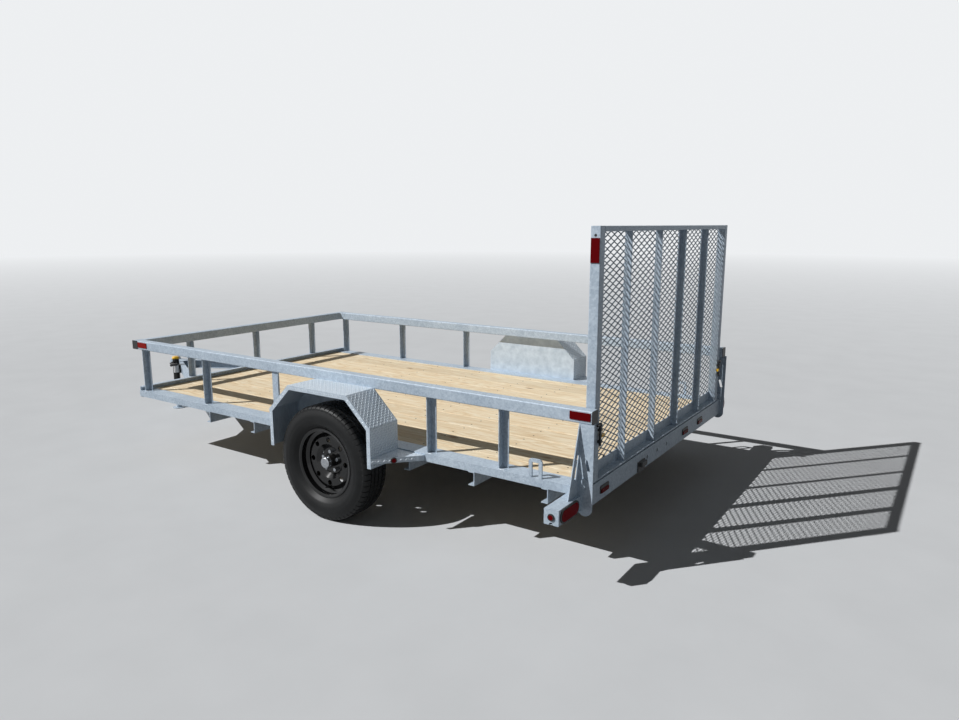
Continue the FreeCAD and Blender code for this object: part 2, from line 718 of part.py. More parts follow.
# Leaf springs: curved leaves on one centre above the axle, with rolled eyes
pack_top = axle_z + axle_r + seat_t + leaf_count * leaf_t
leaf_r = (spring_half_span ** 2 + spring_rise ** 2) / (2 * spring_rise)
arc_z = pack_top + leaf_r
spring_y0 = spring_y - spring_width / 2
spring_y1 = spring_y + spring_width / 2
leaves = []
for i in range(leaf_count):
    reach = spring_half_span - i * leaf_step
    ring = rod(axle_x, spring_y0, arc_z, leaf_r + (i + 1) * leaf_t, spring_width, (0, 1, 0))
    ring = ring.cut(rod(axle_x, spring_y0, arc_z, leaf_r + i * leaf_t, spring_width, (0, 1, 0)))
    leaves.append(ring.common(box(axle_x - reach, axle_x + reach, spring_y0, spring_y1, 0, arc_z / 2)))
eye_angle = math.asin(spring_half_span / leaf_r)
eye_arc = leaf_r + leaf_t - eye_r
eye_dx = eye_arc * math.sin(eye_angle)
eye_z = arc_z - eye_arc * math.cos(eye_angle)
eye_x = (axle_x - eye_dx, axle_x + eye_dx)
eyes = [rod(x, spring_y0, eye_z, eye_r, spring_width, (0, 1, 0)) for x in eye_x]
eye_holes = [rod(x, spring_y0 - 1, eye_z, eye_hole_r, spring_width + 2, (0, 1, 0)) for x in eye_x]
clamp = box(axle_x - seat_half - clamp_reach, axle_x + seat_half + clamp_reach, spring_y0 - clamp_wrap,
            spring_y1 + clamp_wrap, pack_top - clamp_wrap, pack_top + seat_t)
spring = fused(leaves[0], *leaves[1:], *eyes, clamp).cut(eye_holes)
put("leaf_springs", *both(spring))

# U-bolts: four legs from the spring's clamp down past the axle to a tie plate under it
leg_dx = axle_r + u_bolt_gap + u_bolt_r
leg_dy = spring_width / 2 + u_bolt_gap + u_bolt_r - u_bolt_lap
tie_top = axle_z - axle_r - arm_lap
tie_low = tie_top - tie_plate_t
tie_half_x = leg_dx + u_bolt_r + u_bolt_gap
tie_half_y = leg_dy + u_bolt_r + u_bolt_gap
tie_plate = box(axle_x - tie_half_x, axle_x + tie_half_x, spring_y - tie_half_y, spring_y + tie_half_y,
                tie_low, tie_top)
leg_low = tie_low - 2 * u_bolt_r
leg_high = pack_top + seat_t + u_bolt_r
legs = [rod(axle_x + sx * leg_dx, spring_y + sy * leg_dy, leg_low, u_bolt_r, leg_high - leg_low, (0, 0, 1))
        for sx in (-1, 1) for sy in (-1, 1)]
bows = [rod(axle_x + sx * leg_dx, spring_y - leg_dy, leg_high, u_bolt_r, 2 * leg_dy, (0, 1, 0))
        for sx in (-1, 1)]
put("u_bolts", *both(fused(tie_plate, *legs, *bows)))

# Hangers: two cheeks and a top plate under the side frame, with a bolt through the spring's eye
cheek_low = eye_z - eye_r - hanger_cheek_drop
cheek_y = (spring_y0 - hanger_cheek_gap - hanger_t, spring_y1 + hanger_cheek_gap)
bolt_y = spring_y0 - hanger_t - hanger_bolt_reach
bolt_length = spring_width + 2 * (hanger_t + hanger_bolt_reach)
hangers = []
for x in eye_x:
    cheeks = [box(x - hanger_half, x + hanger_half, y, y + hanger_t, cheek_low, frame_bottom)
              for y in cheek_y]
    top = box(x - hanger_half, x + hanger_half, cheek_y[0], half_width, frame_bottom - hanger_t,
              frame_bottom)
    bolt = rod(x, bolt_y, eye_z, eye_hole_r - hanger_bolt_fit, bolt_length, (0, 1, 0))
    hangers.append(fused(*cheeks, top, bolt))
put("spring_hangers", *hangers, *[mirrored(h) for h in hangers])

# Tyres: a plain tread with round shoulders and sidewalls, and a hollow open to the rim
half = tyre_width / 2
rim_edge_r = rim_r + rim_flange_h
bead = rim_half - rim_t - bead_play
wall_r = (rim_edge_r + tyre_r) / 2
shoulder_r = tyre_r - shoulder_drop
shoulder_w = half - tyre_wall
tread_w = half - shoulder_in
bulge_w = (shoulder_w + tread_w) / 2 + shoulder_bulge[0]
bulge_r = (shoulder_r + tyre_r) / 2 + shoulder_bulge[1]
left_line = [(-bead, rim_r), (-bead, rim_edge_r + bead_gap), (-half, wall_r, -shoulder_w, shoulder_r),
             (-bulge_w, bulge_r, -tread_w, tyre_r - bead_gap), (0.0, tyre_r, tread_w, tyre_r - bead_gap)]
right_line = [(bulge_w, bulge_r, shoulder_w, shoulder_r), (half, wall_r, bead, rim_edge_r + bead_gap),
              (bead, rim_r)]
inner_half = [(bead - tyre_wall, rim_r), (half - tyre_wall, wall_r),
              (shoulder_w - tyre_wall, shoulder_r - tyre_wall / 2)]
inner_line = inner_half + [(-w, r) for w, r in reversed(inner_half)]
tyre = turned(left_line + right_line + inner_line, wheel_y)
put("tyre_left", tyre)
put("tyre_right", mirrored(tyre))

# Wheels: a drop-centre barrel and a dished disc with round hand holes
well_in = well_offset - well_half
well_out = well_offset + well_half
barrel_out = [(-rim_half, rim_edge_r), (rim_t - rim_half, rim_edge_r), (-bead, rim_r),
              (well_in - well_ramp, rim_r), (well_in, rim_well_r + rim_t), (well_out, rim_well_r + rim_t),
              (well_out + well_ramp, rim_r), (bead, rim_r), (rim_half - rim_t, rim_edge_r),
              (rim_half, rim_edge_r)]
barrel_in = [(rim_half, rim_edge_r - rim_lip), (rim_half - rim_t, rim_r - rim_t),
             (well_out + well_ramp + rim_t / 2, rim_r - rim_t), (well_out + rim_t / 2, rim_well_r),
             (well_in - rim_t / 2, rim_well_r), (well_in - well_ramp - rim_t / 2, rim_r - rim_t),
             (rim_t - rim_half, rim_r - rim_t), (-rim_half, rim_edge_r - rim_lip)]
barrel = turned(barrel_out + barrel_in, wheel_y)
disc_line = [(0.0, hub_r + disc_bore_fit), (0.0, disc_seat_r), (disc_dish, disc_bowl_r + bowl_round / 2),
             (disc_dish, disc_ring_r), (disc_dish / 2, rim_well_r)]
disc = turned(disc_line + [(w + disc_t, r) for w, r in reversed(disc_line)], wheel_y)


def on_circle(x, z, r, count):
    """The (x, z) of count points at equal steps on a circle, from its top."""
    turns = [2 * math.pi * i / count for i in range(count)]
    return [(x + r * math.sin(a), z + r * math.cos(a)) for a in turns]


wheel_cuts = [rod(x, wheel_y + disc_dish - 1, z, hand_hole_r, disc_t + 2, (0, 1, 0))
              for x, z in on_circle(axle_x, tyre_r, hand_hole_circle_r, hand_hole_count)]
studs = []
nuts = []
for x, z in on_circle(axle_x, tyre_r, lug_circle_r, lug_count):
    wheel_cuts.append(rod(x, wheel_y - 1, z, lug_r + stud_hole_fit, disc_t + 2, (0, 1, 0)))
    studs.append(rod(x, wheel_y - hub_flange_t, z, lug_r, hub_flange_t + disc_t, (0, 1, 0)))
    hexagon = [(corner_x, wheel_y + disc_t, corner_z) for corner_x, corner_z in on_circle(x, z, nut_r, 6)]
    nuts.append(sheet(hexagon, (0, nut_length, 0)))
rim = fused(barrel, disc).cut(wheel_cuts)
put("wheel_rim_left", rim)
put("wheel_rim_right", mirrored(rim))

# Hubs run on the spindles; the cap and the wheel nuts are bright
hub = fused(rod(axle_x, hub_in_y, tyre_r, hub_r, hub_length, (0, 1, 0)),
            rod(axle_x, wheel_y - hub_flange_t, tyre_r, hub_flange_r, hub_flange_t, (0, 1, 0)), *studs)
hub = hub.cut(rod(axle_x, hub_in_y - 1, tyre_r, spindle_r + spindle_fit, hub_length - hub_end_wall + 1,
                  (0, 1, 0)))
put("hub_left", hub)
put("hub_right", mirrored(hub))
cap = rod(axle_x, hub_out_y, tyre_r, cap_r, cap_length, (0, 1, 0))
cap_rim = [e for e in cap.Edges if e.BoundBox.YMin > hub_out_y + cap_length - 1]
cap = cap.makeFillet(cap_round, cap_rim)
put("wheel_nuts_left", cap, *nuts)
put("wheel_nuts_right", mirrored(cap), *[mirrored(n) for n in nuts])

# Ramp gate frame: two tube posts that turn on the hinge pins, an angle sill and a tube head
sill_top = gate_bottom + gate_sill
opening_half = gate_half - gate_post


def gate_blocks(inset, z_end):
    """The two posts and the head as plain blocks, made smaller by inset; z_end is where the posts end."""
    x0 = gate_x + inset
    x1 = gate_front_x - inset
    post = box(x0, x1, opening_half + inset, gate_half - inset, z_end, gate_top - inset)
    head = box(x0, x1, -opening_half - inset, opening_half + inset, gate_top - gate_head + inset,
               gate_top - inset)
    return [*both(post), head]


gate_tubes = [rounded(block, gate_round, direction)
              for block, direction in zip(gate_blocks(0, gate_bottom), ((0, 0, 1), (0, 0, 1), (0, 1, 0)))]
gate_tubes = fused(*gate_tubes).cut(fused(*gate_blocks(gate_wall, gate_bottom - 1)))
hinge_blocks = both(box(gate_x + gate_wall, gate_front_x - gate_wall, block_in_y, gate_half - gate_wall,
                        gate_bottom, sill_top))
sill_end = opening_half + gate_round
sill = fused(box(gate_front_x - plate_t, gate_front_x, -sill_end, sill_end, gate_bottom, sill_top),
             box(gate_x, gate_front_x, -sill_end, sill_end, gate_bottom, gate_bottom + plate_t))
frame = fused(gate_tubes, *hinge_blocks, sill)
frame = frame.cut(both(rod(hinge_x, block_in_y, hinge_z, pin_r + pin_fit, hinge_block + 1, (0, 1, 0))))
put("gate_frame", frame)

# Gate ribs: angles that stand in the sill; the leg across the gate ends above the sill's upright
rib_z0 = gate_bottom + plate_t
rib_z1 = gate_top - gate_head
rib_x1 = gate_front_x - plate_t
ribs = []
for y in rib_y:
    rib = fused(box(rib_x1 - rib_leg, rib_x1, y - plate_t, y, rib_z0, rib_z1),
                box(rib_x1 - plate_t, rib_x1, y - rib_leg, y, sill_top, rib_z1))
    ribs += both(rib)
put("gate_ribs", *ribs)

# Gate mesh: rising strands and falling strands in two layers on the deck side
mesh_y = opening_half + mesh_lap
mesh_z0 = sill_top - mesh_lap
mesh_z1 = rib_z1 + mesh_lap
mesh_slope = mesh_row / mesh_column
strand_h = mesh_strand * math.hypot(1, mesh_slope)


def strands(x0, slope):
    """Parallel slanted strands that fill the gate's opening."""
    half_rise = abs(slope) * mesh_y
    window = box(x0, x0 + mesh_t / 2, -mesh_y, mesh_y, mesh_z0, mesh_z1)
    found = []
    for k in range(int((mesh_z1 - mesh_z0 + 2 * half_rise) / mesh_row)):
        z = mesh_z0 - half_rise + (k + 0.5) * mesh_row
        ends = [(-mesh_y - 1, z - slope * (mesh_y + 1)), (mesh_y + 1, z + slope * (mesh_y + 1))]
        strand = sheet([(x0, *ends[0]), (x0, *ends[1]), (x0, ends[1][0], ends[1][1] + strand_h),
                        (x0, ends[0][0], ends[0][1] + strand_h)], (mesh_t / 2, 0, 0)).common(window)
        if strand.Volume > mesh_strand ** 3:
            found += strand.Solids
    return found


put("gate_mesh_rising", *strands(gate_front_x, mesh_slope))
put("gate_mesh_falling", *strands(gate_front_x + mesh_t / 2, -mesh_slope))

# Latches on the gate posts: an upright rod in two clips with a knob, a pin and a bright tab
latch_x = gate_x - latch_knob_r - latch_gap
latch_rod = rod(latch_x, latch_y, latch_low, latch_r, latch_high - latch_low, (0, 0, 1))
knob = Part.makeSphere(latch_knob_r, Vector(latch_x, latch_y, latch_high))
latch_pin = rod(latch_x, latch_y, latch_high, latch_pin_r, latch_pin_reach, (0, 1, 0))
clips = [box(latch_x - latch_r - latch_clip_wrap, gate_x, latch_y - latch_clip_width / 2,
             latch_y + latch_clip_width / 2, z - latch_clip_half, z + latch_clip_half)
         for z in latch_clip_z]
put("gate_latches", *both(fused(latch_rod, knob, latch_pin, *clips)))
tab = box(latch_x - latch_r, latch_x + latch_r, latch_y - latch_r - latch_tab_reach, latch_y - latch_r,
          latch_tab_z - latch_tab_height / 2, latch_tab_z + latch_tab_height / 2)
put("gate_latch_tabs", *both(tab))

# Reflectors on the outer sides of the gate posts
reflector_top = gate_top - gate_reflector_drop
gate_reflector = box(gate_x + gate_reflector_inset, gate_front_x - gate_reflector_inset, gate_half,
                     gate_half + reflector_t, reflector_top - gate_reflector_length, reflector_top)
put("gate_reflectors", *both(gate_reflector))

for name, shape in made.items():
    shape.exportStep(f"parts/{name}.step")
    print(name, len(shape.Solids), round(shape.Volume), shape.isValid())
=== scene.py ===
# %% [markdown]
# # A galvanised utility trailer, dressed for a picture
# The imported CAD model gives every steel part, plank and wheel its true place. This lesson loads that model,
# adds the fine surfaces that a solid modeller leaves out (expanded mesh, tread-plate lugs, tyre tread,
# screws, weld beads), gives each part the finish of its real material, and lights it like a product on a
# pale floor.

# %% Load the CAD frame
import json
import bpy
import numpy as np
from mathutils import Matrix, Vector


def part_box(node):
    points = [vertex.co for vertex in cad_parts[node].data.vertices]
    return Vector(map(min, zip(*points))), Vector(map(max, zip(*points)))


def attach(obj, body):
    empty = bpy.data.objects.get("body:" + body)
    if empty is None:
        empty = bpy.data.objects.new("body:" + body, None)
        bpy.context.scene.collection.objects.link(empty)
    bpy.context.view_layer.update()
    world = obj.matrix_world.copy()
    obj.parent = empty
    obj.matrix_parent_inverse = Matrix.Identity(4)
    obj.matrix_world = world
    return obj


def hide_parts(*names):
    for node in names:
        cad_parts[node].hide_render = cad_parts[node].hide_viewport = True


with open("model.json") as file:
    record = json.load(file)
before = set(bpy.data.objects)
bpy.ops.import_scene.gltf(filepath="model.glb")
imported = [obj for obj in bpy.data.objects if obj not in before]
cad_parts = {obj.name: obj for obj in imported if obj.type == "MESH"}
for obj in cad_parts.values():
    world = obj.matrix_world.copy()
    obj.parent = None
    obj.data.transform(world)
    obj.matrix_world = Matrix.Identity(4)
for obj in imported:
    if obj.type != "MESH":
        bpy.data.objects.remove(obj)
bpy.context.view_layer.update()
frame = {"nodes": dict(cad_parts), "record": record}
nodes = frame["nodes"]
scene = bpy.context.scene

# %% [markdown]
# ## The camera
# A photographer stands off the rear left corner with a normal-wide lens at head height. The camera here
# stands at the same point and looks along the same line, so that lengths and overlaps agree with the
# photograph. It could be aimed by hand, but the numbers of a solved view repeat exactly. Its place is
# measured from the rear end of the top rails, and its focal length and optical centre are in pixels of the
# photograph.

# %% Place the camera
IMAGE_SIZE = (959, 720)
SENSOR_MM = 36.0
FOCAL_PX = 723.7
PRINCIPAL_Y = 362.1
VIEW_AZIMUTH, VIEW_TILT = np.radians(-55.93), np.radians(-10.81)
CAMERA_FROM_RAIL = Vector((-1.377, 4.037, 1.680))
rail_end_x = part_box("top_rail_sides")[0].x

camera_data = bpy.data.cameras.new("camera")
camera_data.sensor_width = SENSOR_MM
camera_data.lens = FOCAL_PX * SENSOR_MM / IMAGE_SIZE[0]
camera_data.shift_y = (PRINCIPAL_Y - IMAGE_SIZE[1] / 2) / IMAGE_SIZE[0]
camera = bpy.data.objects.new("camera", camera_data)
scene.collection.objects.link(camera)
camera.location = CAMERA_FROM_RAIL + Vector((rail_end_x, 0, 0))
flat = np.cos(VIEW_TILT)
look = Vector((flat * np.cos(VIEW_AZIMUTH), flat * np.sin(VIEW_AZIMUTH), np.sin(VIEW_TILT)))
camera.rotation_euler = look.to_track_quat("-Z", "Y").to_euler()
scene.camera = camera
print("camera lens %.2f mm" % camera_data.lens)

# %% [markdown]
# ## Helpers for meshes
# Every new piece is a grid of points worked out as whole numpy arrays. `grid_quads` joins the points of a
# grid to four-sided faces, and `piece` turns arrays into an object that rides on one of the CAD bodies.

# %% Mesh helpers
def grid_quads(rows, columns, close_rows=False, close_columns=False):
    """Faces (i, j), (i, j+1), (i+1, j+1), (i+1, j), where point (i, j) has number i * columns + j."""
    i = np.arange(rows if close_rows else rows - 1)[:, None]
    j = np.arange(columns if close_columns else columns - 1)[None, :]
    i2, j2 = (i + 1) % rows, (j + 1) % columns
    corners = np.broadcast_arrays(i * columns + j, i * columns + j2, i2 * columns + j2, i2 * columns + j)
    return np.stack(corners, -1).reshape(-1, 4)


def piece(name, points, faces, body, material, smooth=False):
    """Makes a mesh of points (n, 3) in metres and faces (m, k), and lets it ride on a CAD body."""
    faces = np.asarray(faces, np.int32)
    mesh = bpy.data.meshes.new(name)
    mesh.vertices.add(len(points))
    mesh.vertices.foreach_set("co", np.asarray(points, np.float32).ravel())
    mesh.loops.add(faces.size)
    mesh.loops.foreach_set("vertex_index", faces.ravel())
    mesh.polygons.add(len(faces))
    mesh.polygons.foreach_set("loop_start", np.arange(len(faces), dtype=np.int32) * faces.shape[1])
    mesh.polygons.foreach_set("use_smooth", np.broadcast_to(smooth, len(faces)))
    mesh.update(calc_edges=True)
    mesh.validate()
    mesh.materials.append(material)
    thing = bpy.data.objects.new(name, mesh)
    scene.collection.objects.link(thing)
    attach(thing, body)
    print("%s: %d points, %d faces" % (name, len(points), len(faces)))
    return thing


def placed(points, faces, places, axes=None):
    """One small shape (n, 3) at each place (k, 3), turned by its own axes (k, 3, 3); faces number on by n."""
    places = np.asarray(places, float)
    turned = points[None] if axes is None else points @ np.asarray(axes, float)
    shift = (np.arange(len(places)) * len(points))[:, None, None]
    return (places[:, None, :] + turned).reshape(-1, 3), (faces[None] + shift).reshape(-1, faces.shape[1])


def joined(parts):
    """Several (points, faces) put one after another, with the faces renumbered."""
    starts = np.cumsum([0] + [len(p) for p, _ in parts[:-1]])
    return np.concatenate([p for p, _ in parts]), np.concatenate([f + s for (_, f), s in zip(parts, starts)])


def lathe(profile, count, closed=False):
    """A profile of (radius, height) turned about Z: point = (r cos a, r sin a, h), a in count equal steps."""
    angle = np.arange(count) * 2 * np.pi / count
    r, h = np.asarray(profile, float).T
    x, y, z = np.broadcast_arrays(np.cos(angle)[:, None] * r, np.sin(angle)[:, None] * r, h)
    points = np.stack([x, y, z], -1)
    return points.reshape(-1, 3), grid_quads(count, len(r), close_rows=True, close_columns=closed)[:, ::-1]


def frames_along(normals):
    """For each unit normal, three rows: two directions across it and the normal itself."""
    n = np.asarray(normals, float)
    n = n / np.linalg.norm(n, axis=1, keepdims=True)
    helper = np.where(np.abs(n[:, 2:]) > 0.9, [[1.0, 0, 0]], [[0, 0, 1.0]])
    a = np.cross(helper, n)
    a /= np.linalg.norm(a, axis=1, keepdims=True)
    return np.stack([a, np.cross(n, a), n], 1)


def solids(name):
    """The boxes (k, 2, 3) of a node's separate solids: joined points take the lowest label among them."""
    mesh = nodes[name].data
    co = np.empty(len(mesh.vertices) * 3)
    mesh.vertices.foreach_get("co", co)
    ends = np.empty(len(mesh.edges) * 2, int)
    mesh.edges.foreach_get("vertices", ends)
    spots, same = np.unique(np.round(co.reshape(-1, 3), 5), axis=0, return_inverse=True)
    ends = same.reshape(-1)[ends].reshape(-1, 2)
    label = np.arange(len(spots))
    while True:
        low = label[ends].min(1)
        after = label.copy()
        np.minimum.at(after, ends[:, 0], low)
        np.minimum.at(after, ends[:, 1], low)
        if (after == label).all():
            break
        label = after[after]
    return np.array([[spots[label == k].min(0), spots[label == k].max(0)] for k in np.unique(label)])


# %% [markdown]
# ## Helpers for materials
# Colours are written as the hex values of a paint chart and turned to the linear light that Cycles counts
# in. `add` makes one shader node with its settings and links, and each finish below is built from it.

# %% Material helpers
def linear(hex_colour):
    """sRGB hex to linear: c / 12.92 below 0.04045, otherwise ((c + 0.055) / 1.055) ** 2.4."""
    c = np.array([int(hex_colour[i:i + 2], 16) for i in (1, 3, 5)]) / 255
    return (*np.where(c <= 0.04045, c / 12.92, ((c + 0.055) / 1.055) ** 2.4).tolist(), 1.0)


def add(tree, kind, links=(), **settings):
    """Adds a node; settings are its properties or input values (i6 is input 6), links (output, input)."""
    node = tree.nodes.new(kind)
    for key, value in settings.items():
        if hasattr(node, key):
            setattr(node, key, value)
        else:
            socket = int(key[1:]) if key[0] == "i" and key[1:].isdigit() else key.replace("_", " ")
            node.inputs[socket].default_value = value
    for output, name in links:
        tree.links.new(output, node.inputs[name])
    return node


def new_material(name, **shader_settings):
    """A material with one Principled shader; returns the material, its tree and the shader."""
    material = bpy.data.materials.new(name)
    material.use_nodes = True
    tree = material.node_tree
    shader = tree.nodes["Principled BSDF"]
    for key, value in shader_settings.items():
        shader.inputs[key.replace("_", " ")].default_value = value
    return material, tree, shader


def ramp(tree, source, stops):
    """A colour ramp whose stops are (position, hex colour)."""
    node = add(tree, "ShaderNodeValToRGB", links=[(source, "Fac")])
    while len(node.color_ramp.elements) < len(stops):
        node.color_ramp.elements.new(0.5)
    for element, (position, colour) in zip(node.color_ramp.elements, stops):
        element.position = position
        element.color = linear(colour)
    return node


def noise(tree, vector, size_mm, detail=4.0, **settings):
    """A noise texture whose clouds are about size_mm across: its scale is 1000 / size_mm per metre."""
    return add(tree, "ShaderNodeTexNoise", links=[(vector, "Vector")], Scale=1000 / size_mm, Detail=detail,
               **settings)


def bumped(tree, shader, height, depth_mm, strength=0.5):
    """Feeds a height pattern to the shader's normal as a bump depth_mm deep."""
    bump = add(tree, "ShaderNodeBump", links=[(height, "Height")], Strength=strength,
               Distance=depth_mm / 1000)
    tree.links.new(bump.outputs["Normal"], shader.inputs["Normal"])


# %% [markdown]
# ## Galvanised steel
# Hot-dip zinc cools into crystals, the spangle, 5 to 15 mm across, each with its own brightness. Weathered
# zinc is more chalk than mirror, so its metal share is small. A picture of zinc would repeat and stretch on
# so many parts, so the pattern is computed: cells of a Voronoi pattern stand for the crystals, and slow
# noise adds the cloudy runs that the bath leaves.

# %% Galvanised steel finish
SPANGLE_MM, CLOUD_MM, RUN_MM = 9.0, 25.0, 180.0


def galvanised_steel(name, dark, light, roughness):
    """The shade from dark to light is 30 % crystals (Voronoi cells), 35 % clouds and 35 % long runs."""
    material, tree, shader = new_material(name, Metallic=0.08, Specular_IOR_Level=0.25)
    place = add(tree, "ShaderNodeTexCoord").outputs["Object"]
    crystals = add(tree, "ShaderNodeTexVoronoi", links=[(place, "Vector")], Scale=1000 / SPANGLE_MM)
    grey = add(tree, "ShaderNodeRGBToBW", links=[(crystals.outputs["Color"], "Color")])
    clouds = noise(tree, place, CLOUD_MM, 5.0)
    runs = noise(tree, place, RUN_MM, 3.0)
    soft = add(tree, "ShaderNodeMix", links=[(clouds.outputs["Fac"], "A"), (runs.outputs["Fac"], "B")],
               Factor=0.5)
    blend = add(tree, "ShaderNodeMix", links=[(grey.outputs[0], "A"), (soft.outputs[0], "B")], Factor=0.70)
    colour = ramp(tree, blend.outputs[0], [(0.32, dark), (0.68, light)])
    tree.links.new(colour.outputs["Color"], shader.inputs["Base Color"])
    rough = add(tree, "ShaderNodeMapRange", links=[(blend.outputs[0], "Value")], i3=roughness - 0.08,
                i4=roughness + 0.10)
    tree.links.new(rough.outputs[0], shader.inputs["Roughness"])
    bumped(tree, shader, clouds.outputs["Fac"], 0.3, 0.25)
    return material


# cool grey with a faint sparkle of crystals on flat faces
zinc = galvanised_steel("hot-dip galvanised steel", "#9DACBB", "#BFCCD8", 0.46)
# painted shade: the mesh is coloured darker than the other zinc, for the shade on its strands
mesh_zinc_painted_shade = galvanised_steel("galvanised expanded mesh with painted shade", "#5C6771", "#8A959F", 0.46)
# zinc on a rough bead stays thicker; the bead's lighter colour is a painted highlight for the light that it
# catches
weld_zinc_painted_highlight = galvanised_steel("zinc over weld bead with painted highlight", "#A7B0B8", "#CDD5DC", 0.40)
print("zinc finishes made")

# %% [markdown]
# ## Tread-plate aluminium
# The fenders are bright rolled plate. The raised lugs could be a bump, but their edges catch the sun, so
# they are real geometry further down. The plate under them is smooth, light and a little scratched along
# its length.

# %% Aluminium finish
# a soft, light sheen: streaks 40 mm long and 5 mm wide change both its tone and its gloss
tread_alloy, tree, shader = new_material("rolled tread-plate alloy", Metallic=0.12)
place = add(tree, "ShaderNodeTexCoord").outputs["Object"]
rolling = add(tree, "ShaderNodeMapping", links=[(place, "Vector")], Scale=(1.0, 8.0, 1.0))
scuffs = noise(tree, rolling.outputs[0], 40.0, 6.0)
colour = ramp(tree, scuffs.outputs["Fac"], [(0.30, "#B2C0CD"), (0.75, "#CDD9E4")])
tree.links.new(colour.outputs["Color"], shader.inputs["Base Color"])
rough = add(tree, "ShaderNodeMapRange", links=[(scuffs.outputs["Fac"], "Value")], i3=0.34, i4=0.46)
tree.links.new(rough.outputs[0], shader.inputs["Roughness"])

# boots and cargo polish the lugs, so they are glossier than the plate; their lighter colour is partly that
# wear and partly a painted highlight for the sun on their tops
lug_alloy_wear_and_highlight, tree, shader = new_material("tread-plate lugs worn and painted bright", Metallic=0.25, Roughness=0.32)
place = add(tree, "ShaderNodeTexCoord").outputs["Object"]
shine = noise(tree, place, 12.0)
colour = ramp(tree, shine.outputs["Fac"], [(0.3, "#D0DBE5"), (0.7, "#E6EDF3")])
tree.links.new(colour.outputs["Color"], shader.inputs["Base Color"])
print("alloy finishes made")

# %% [markdown]
# ## Rough pine planks
# The deck is treated pine, sawn and laid lengthwise. Each plank has its own tone. Growth rings show as long
# waves a few millimetres to centimetres wide, and knots as brown ovals some 30 mm wide. One picture of wood
# would repeat from plank to plank, so the grain is computed. The plank's number comes from its Y position,
# so one material serves all the planks and no two look the same.

# %% Pine finish
plank_boxes = solids("deck_planks")
plank_low, plank_high = plank_boxes[:, 0].min(0), plank_boxes[:, 1].max(0)
PLANK_PITCH = float(np.diff(np.sort(plank_boxes[:, 0, 1])).mean())
# rough from the saw, so it is matt, pale and warm
pine, tree, shader = new_material("sawn treated pine", Roughness=0.78)
place = add(tree, "ShaderNodeTexCoord").outputs["Object"]
axes = add(tree, "ShaderNodeSeparateXYZ", links=[(place, "Vector")])
# the whole part of (y - lowest y) / pitch is the plank's number, and the number draws its chance values
lane = add(tree, "ShaderNodeMath", links=[(axes.outputs["Y"], 0)], operation="MULTIPLY_ADD",
           i1=1 / PLANK_PITCH, i2=-float(plank_low[1]) / PLANK_PITCH)
number = add(tree, "ShaderNodeMath", links=[(lane.outputs[0], 0)], operation="FLOOR")
chance = add(tree, "ShaderNodeTexWhiteNoise", links=[(number.outputs[0], "W")], noise_dimensions="1D")
shifted = add(tree, "ShaderNodeVectorMath", links=[(chance.outputs["Color"], 1), (place, 2)],
              operation="MULTIPLY_ADD", i0=(9.0, 0.6, 3.0))
# long swirls, drawn out ten times along the plank, folded into rings
stretch = add(tree, "ShaderNodeMapping", links=[(shifted.outputs[0], "Vector")], Scale=(0.9, 9.0, 9.0))
warp = add(tree, "ShaderNodeTexNoise", links=[(stretch.outputs[0], "Vector")], Scale=1.6, Detail=3.0,
           Distortion=0.6)
rings = add(tree, "ShaderNodeMath", links=[(warp.outputs["Fac"], 0)], operation="MULTIPLY", i1=16.0)
wave = add(tree, "ShaderNodeMath", links=[(rings.outputs[0], 0)], operation="PINGPONG", i1=1.0)
# fibres forty times as long as wide, drawn 4 mm wide where real ones are finer, so that they show
fibre_map = add(tree, "ShaderNodeMapping", links=[(shifted.outputs[0], "Vector")], Scale=(6.0, 240.0, 240.0))
fibre = add(tree, "ShaderNodeTexNoise", links=[(fibre_map.outputs[0], "Vector")], Scale=1.0, Detail=4.0)
grain = add(tree, "ShaderNodeMix", links=[(wave.outputs[0], "A"), (fibre.outputs["Fac"], "B")], Factor=0.55)
wood = ramp(tree, grain.outputs[0], [(0.12, "#CFAF86"), (0.45, "#E7D2AF"), (0.85, "#F3E7CE")])
tone = add(tree, "ShaderNodeMapRange", links=[(chance.outputs["Value"], "Value")], i3=0.88, i4=1.05)
toned = add(tree, "ShaderNodeVectorMath", links=[(wood.outputs["Color"], 0), (tone.outputs[0], "Scale")],
            operation="SCALE")
# knots: cells about 450 mm long and 185 mm wide, of which the middle is brown
knot_map = add(tree, "ShaderNodeMapping", links=[(shifted.outputs[0], "Vector")], Scale=(2.2, 5.4, 1.0))
knots = add(tree, "ShaderNodeTexVoronoi", links=[(knot_map.outputs[0], "Vector")], Scale=1.0)
knot_edge = add(tree, "ShaderNodeMapRange", links=[(knots.outputs["Distance"], "Value")], i1=0.035, i2=0.11,
                i3=0.85, i4=0.0)
knotted = add(tree, "ShaderNodeMix", links=[(knot_edge.outputs[0], "Factor"), (toned.outputs[0], 6)],
              data_type="RGBA", i7=linear("#7A5230"))
tree.links.new(knotted.outputs[2], shader.inputs["Base Color"])
bumped(tree, shader, grain.outputs[0], 1.0, 0.25)
print("pine finish made, plank pitch %.1f mm" % (PLANK_PITCH * 1000))

# %% [markdown]
# ## Rubber, paint, plastic and lenses
# Tyre rubber is a dusty black. The wheels wear gloss black enamel with the faint orange peel of sprayed
# paint. Lamps and reflectors are clear acrylic, dyed in the mass and moulded with a fine grid of prisms.
# One function could make all of these, but a lens needs a square grid where the others need grains, so
# there are two.

# %% Small finishes
def speckled(name, dark, light, size_mm, roughness, bump_mm=0.0, **settings):
    """A noise whose grains are about size_mm across, between two colours, with a bump of the same grain."""
    material, tree, shader = new_material(name, Roughness=roughness, **settings)
    place = add(tree, "ShaderNodeTexCoord").outputs["Object"]
    grains = noise(tree, place, size_mm)
    colour = ramp(tree, grains.outputs["Fac"], [(0.3, dark), (0.7, light)])
    tree.links.new(colour.outputs["Color"], shader.inputs["Base Color"])
    if bump_mm:
        bumped(tree, shader, grains.outputs["Fac"], bump_mm)
    return material


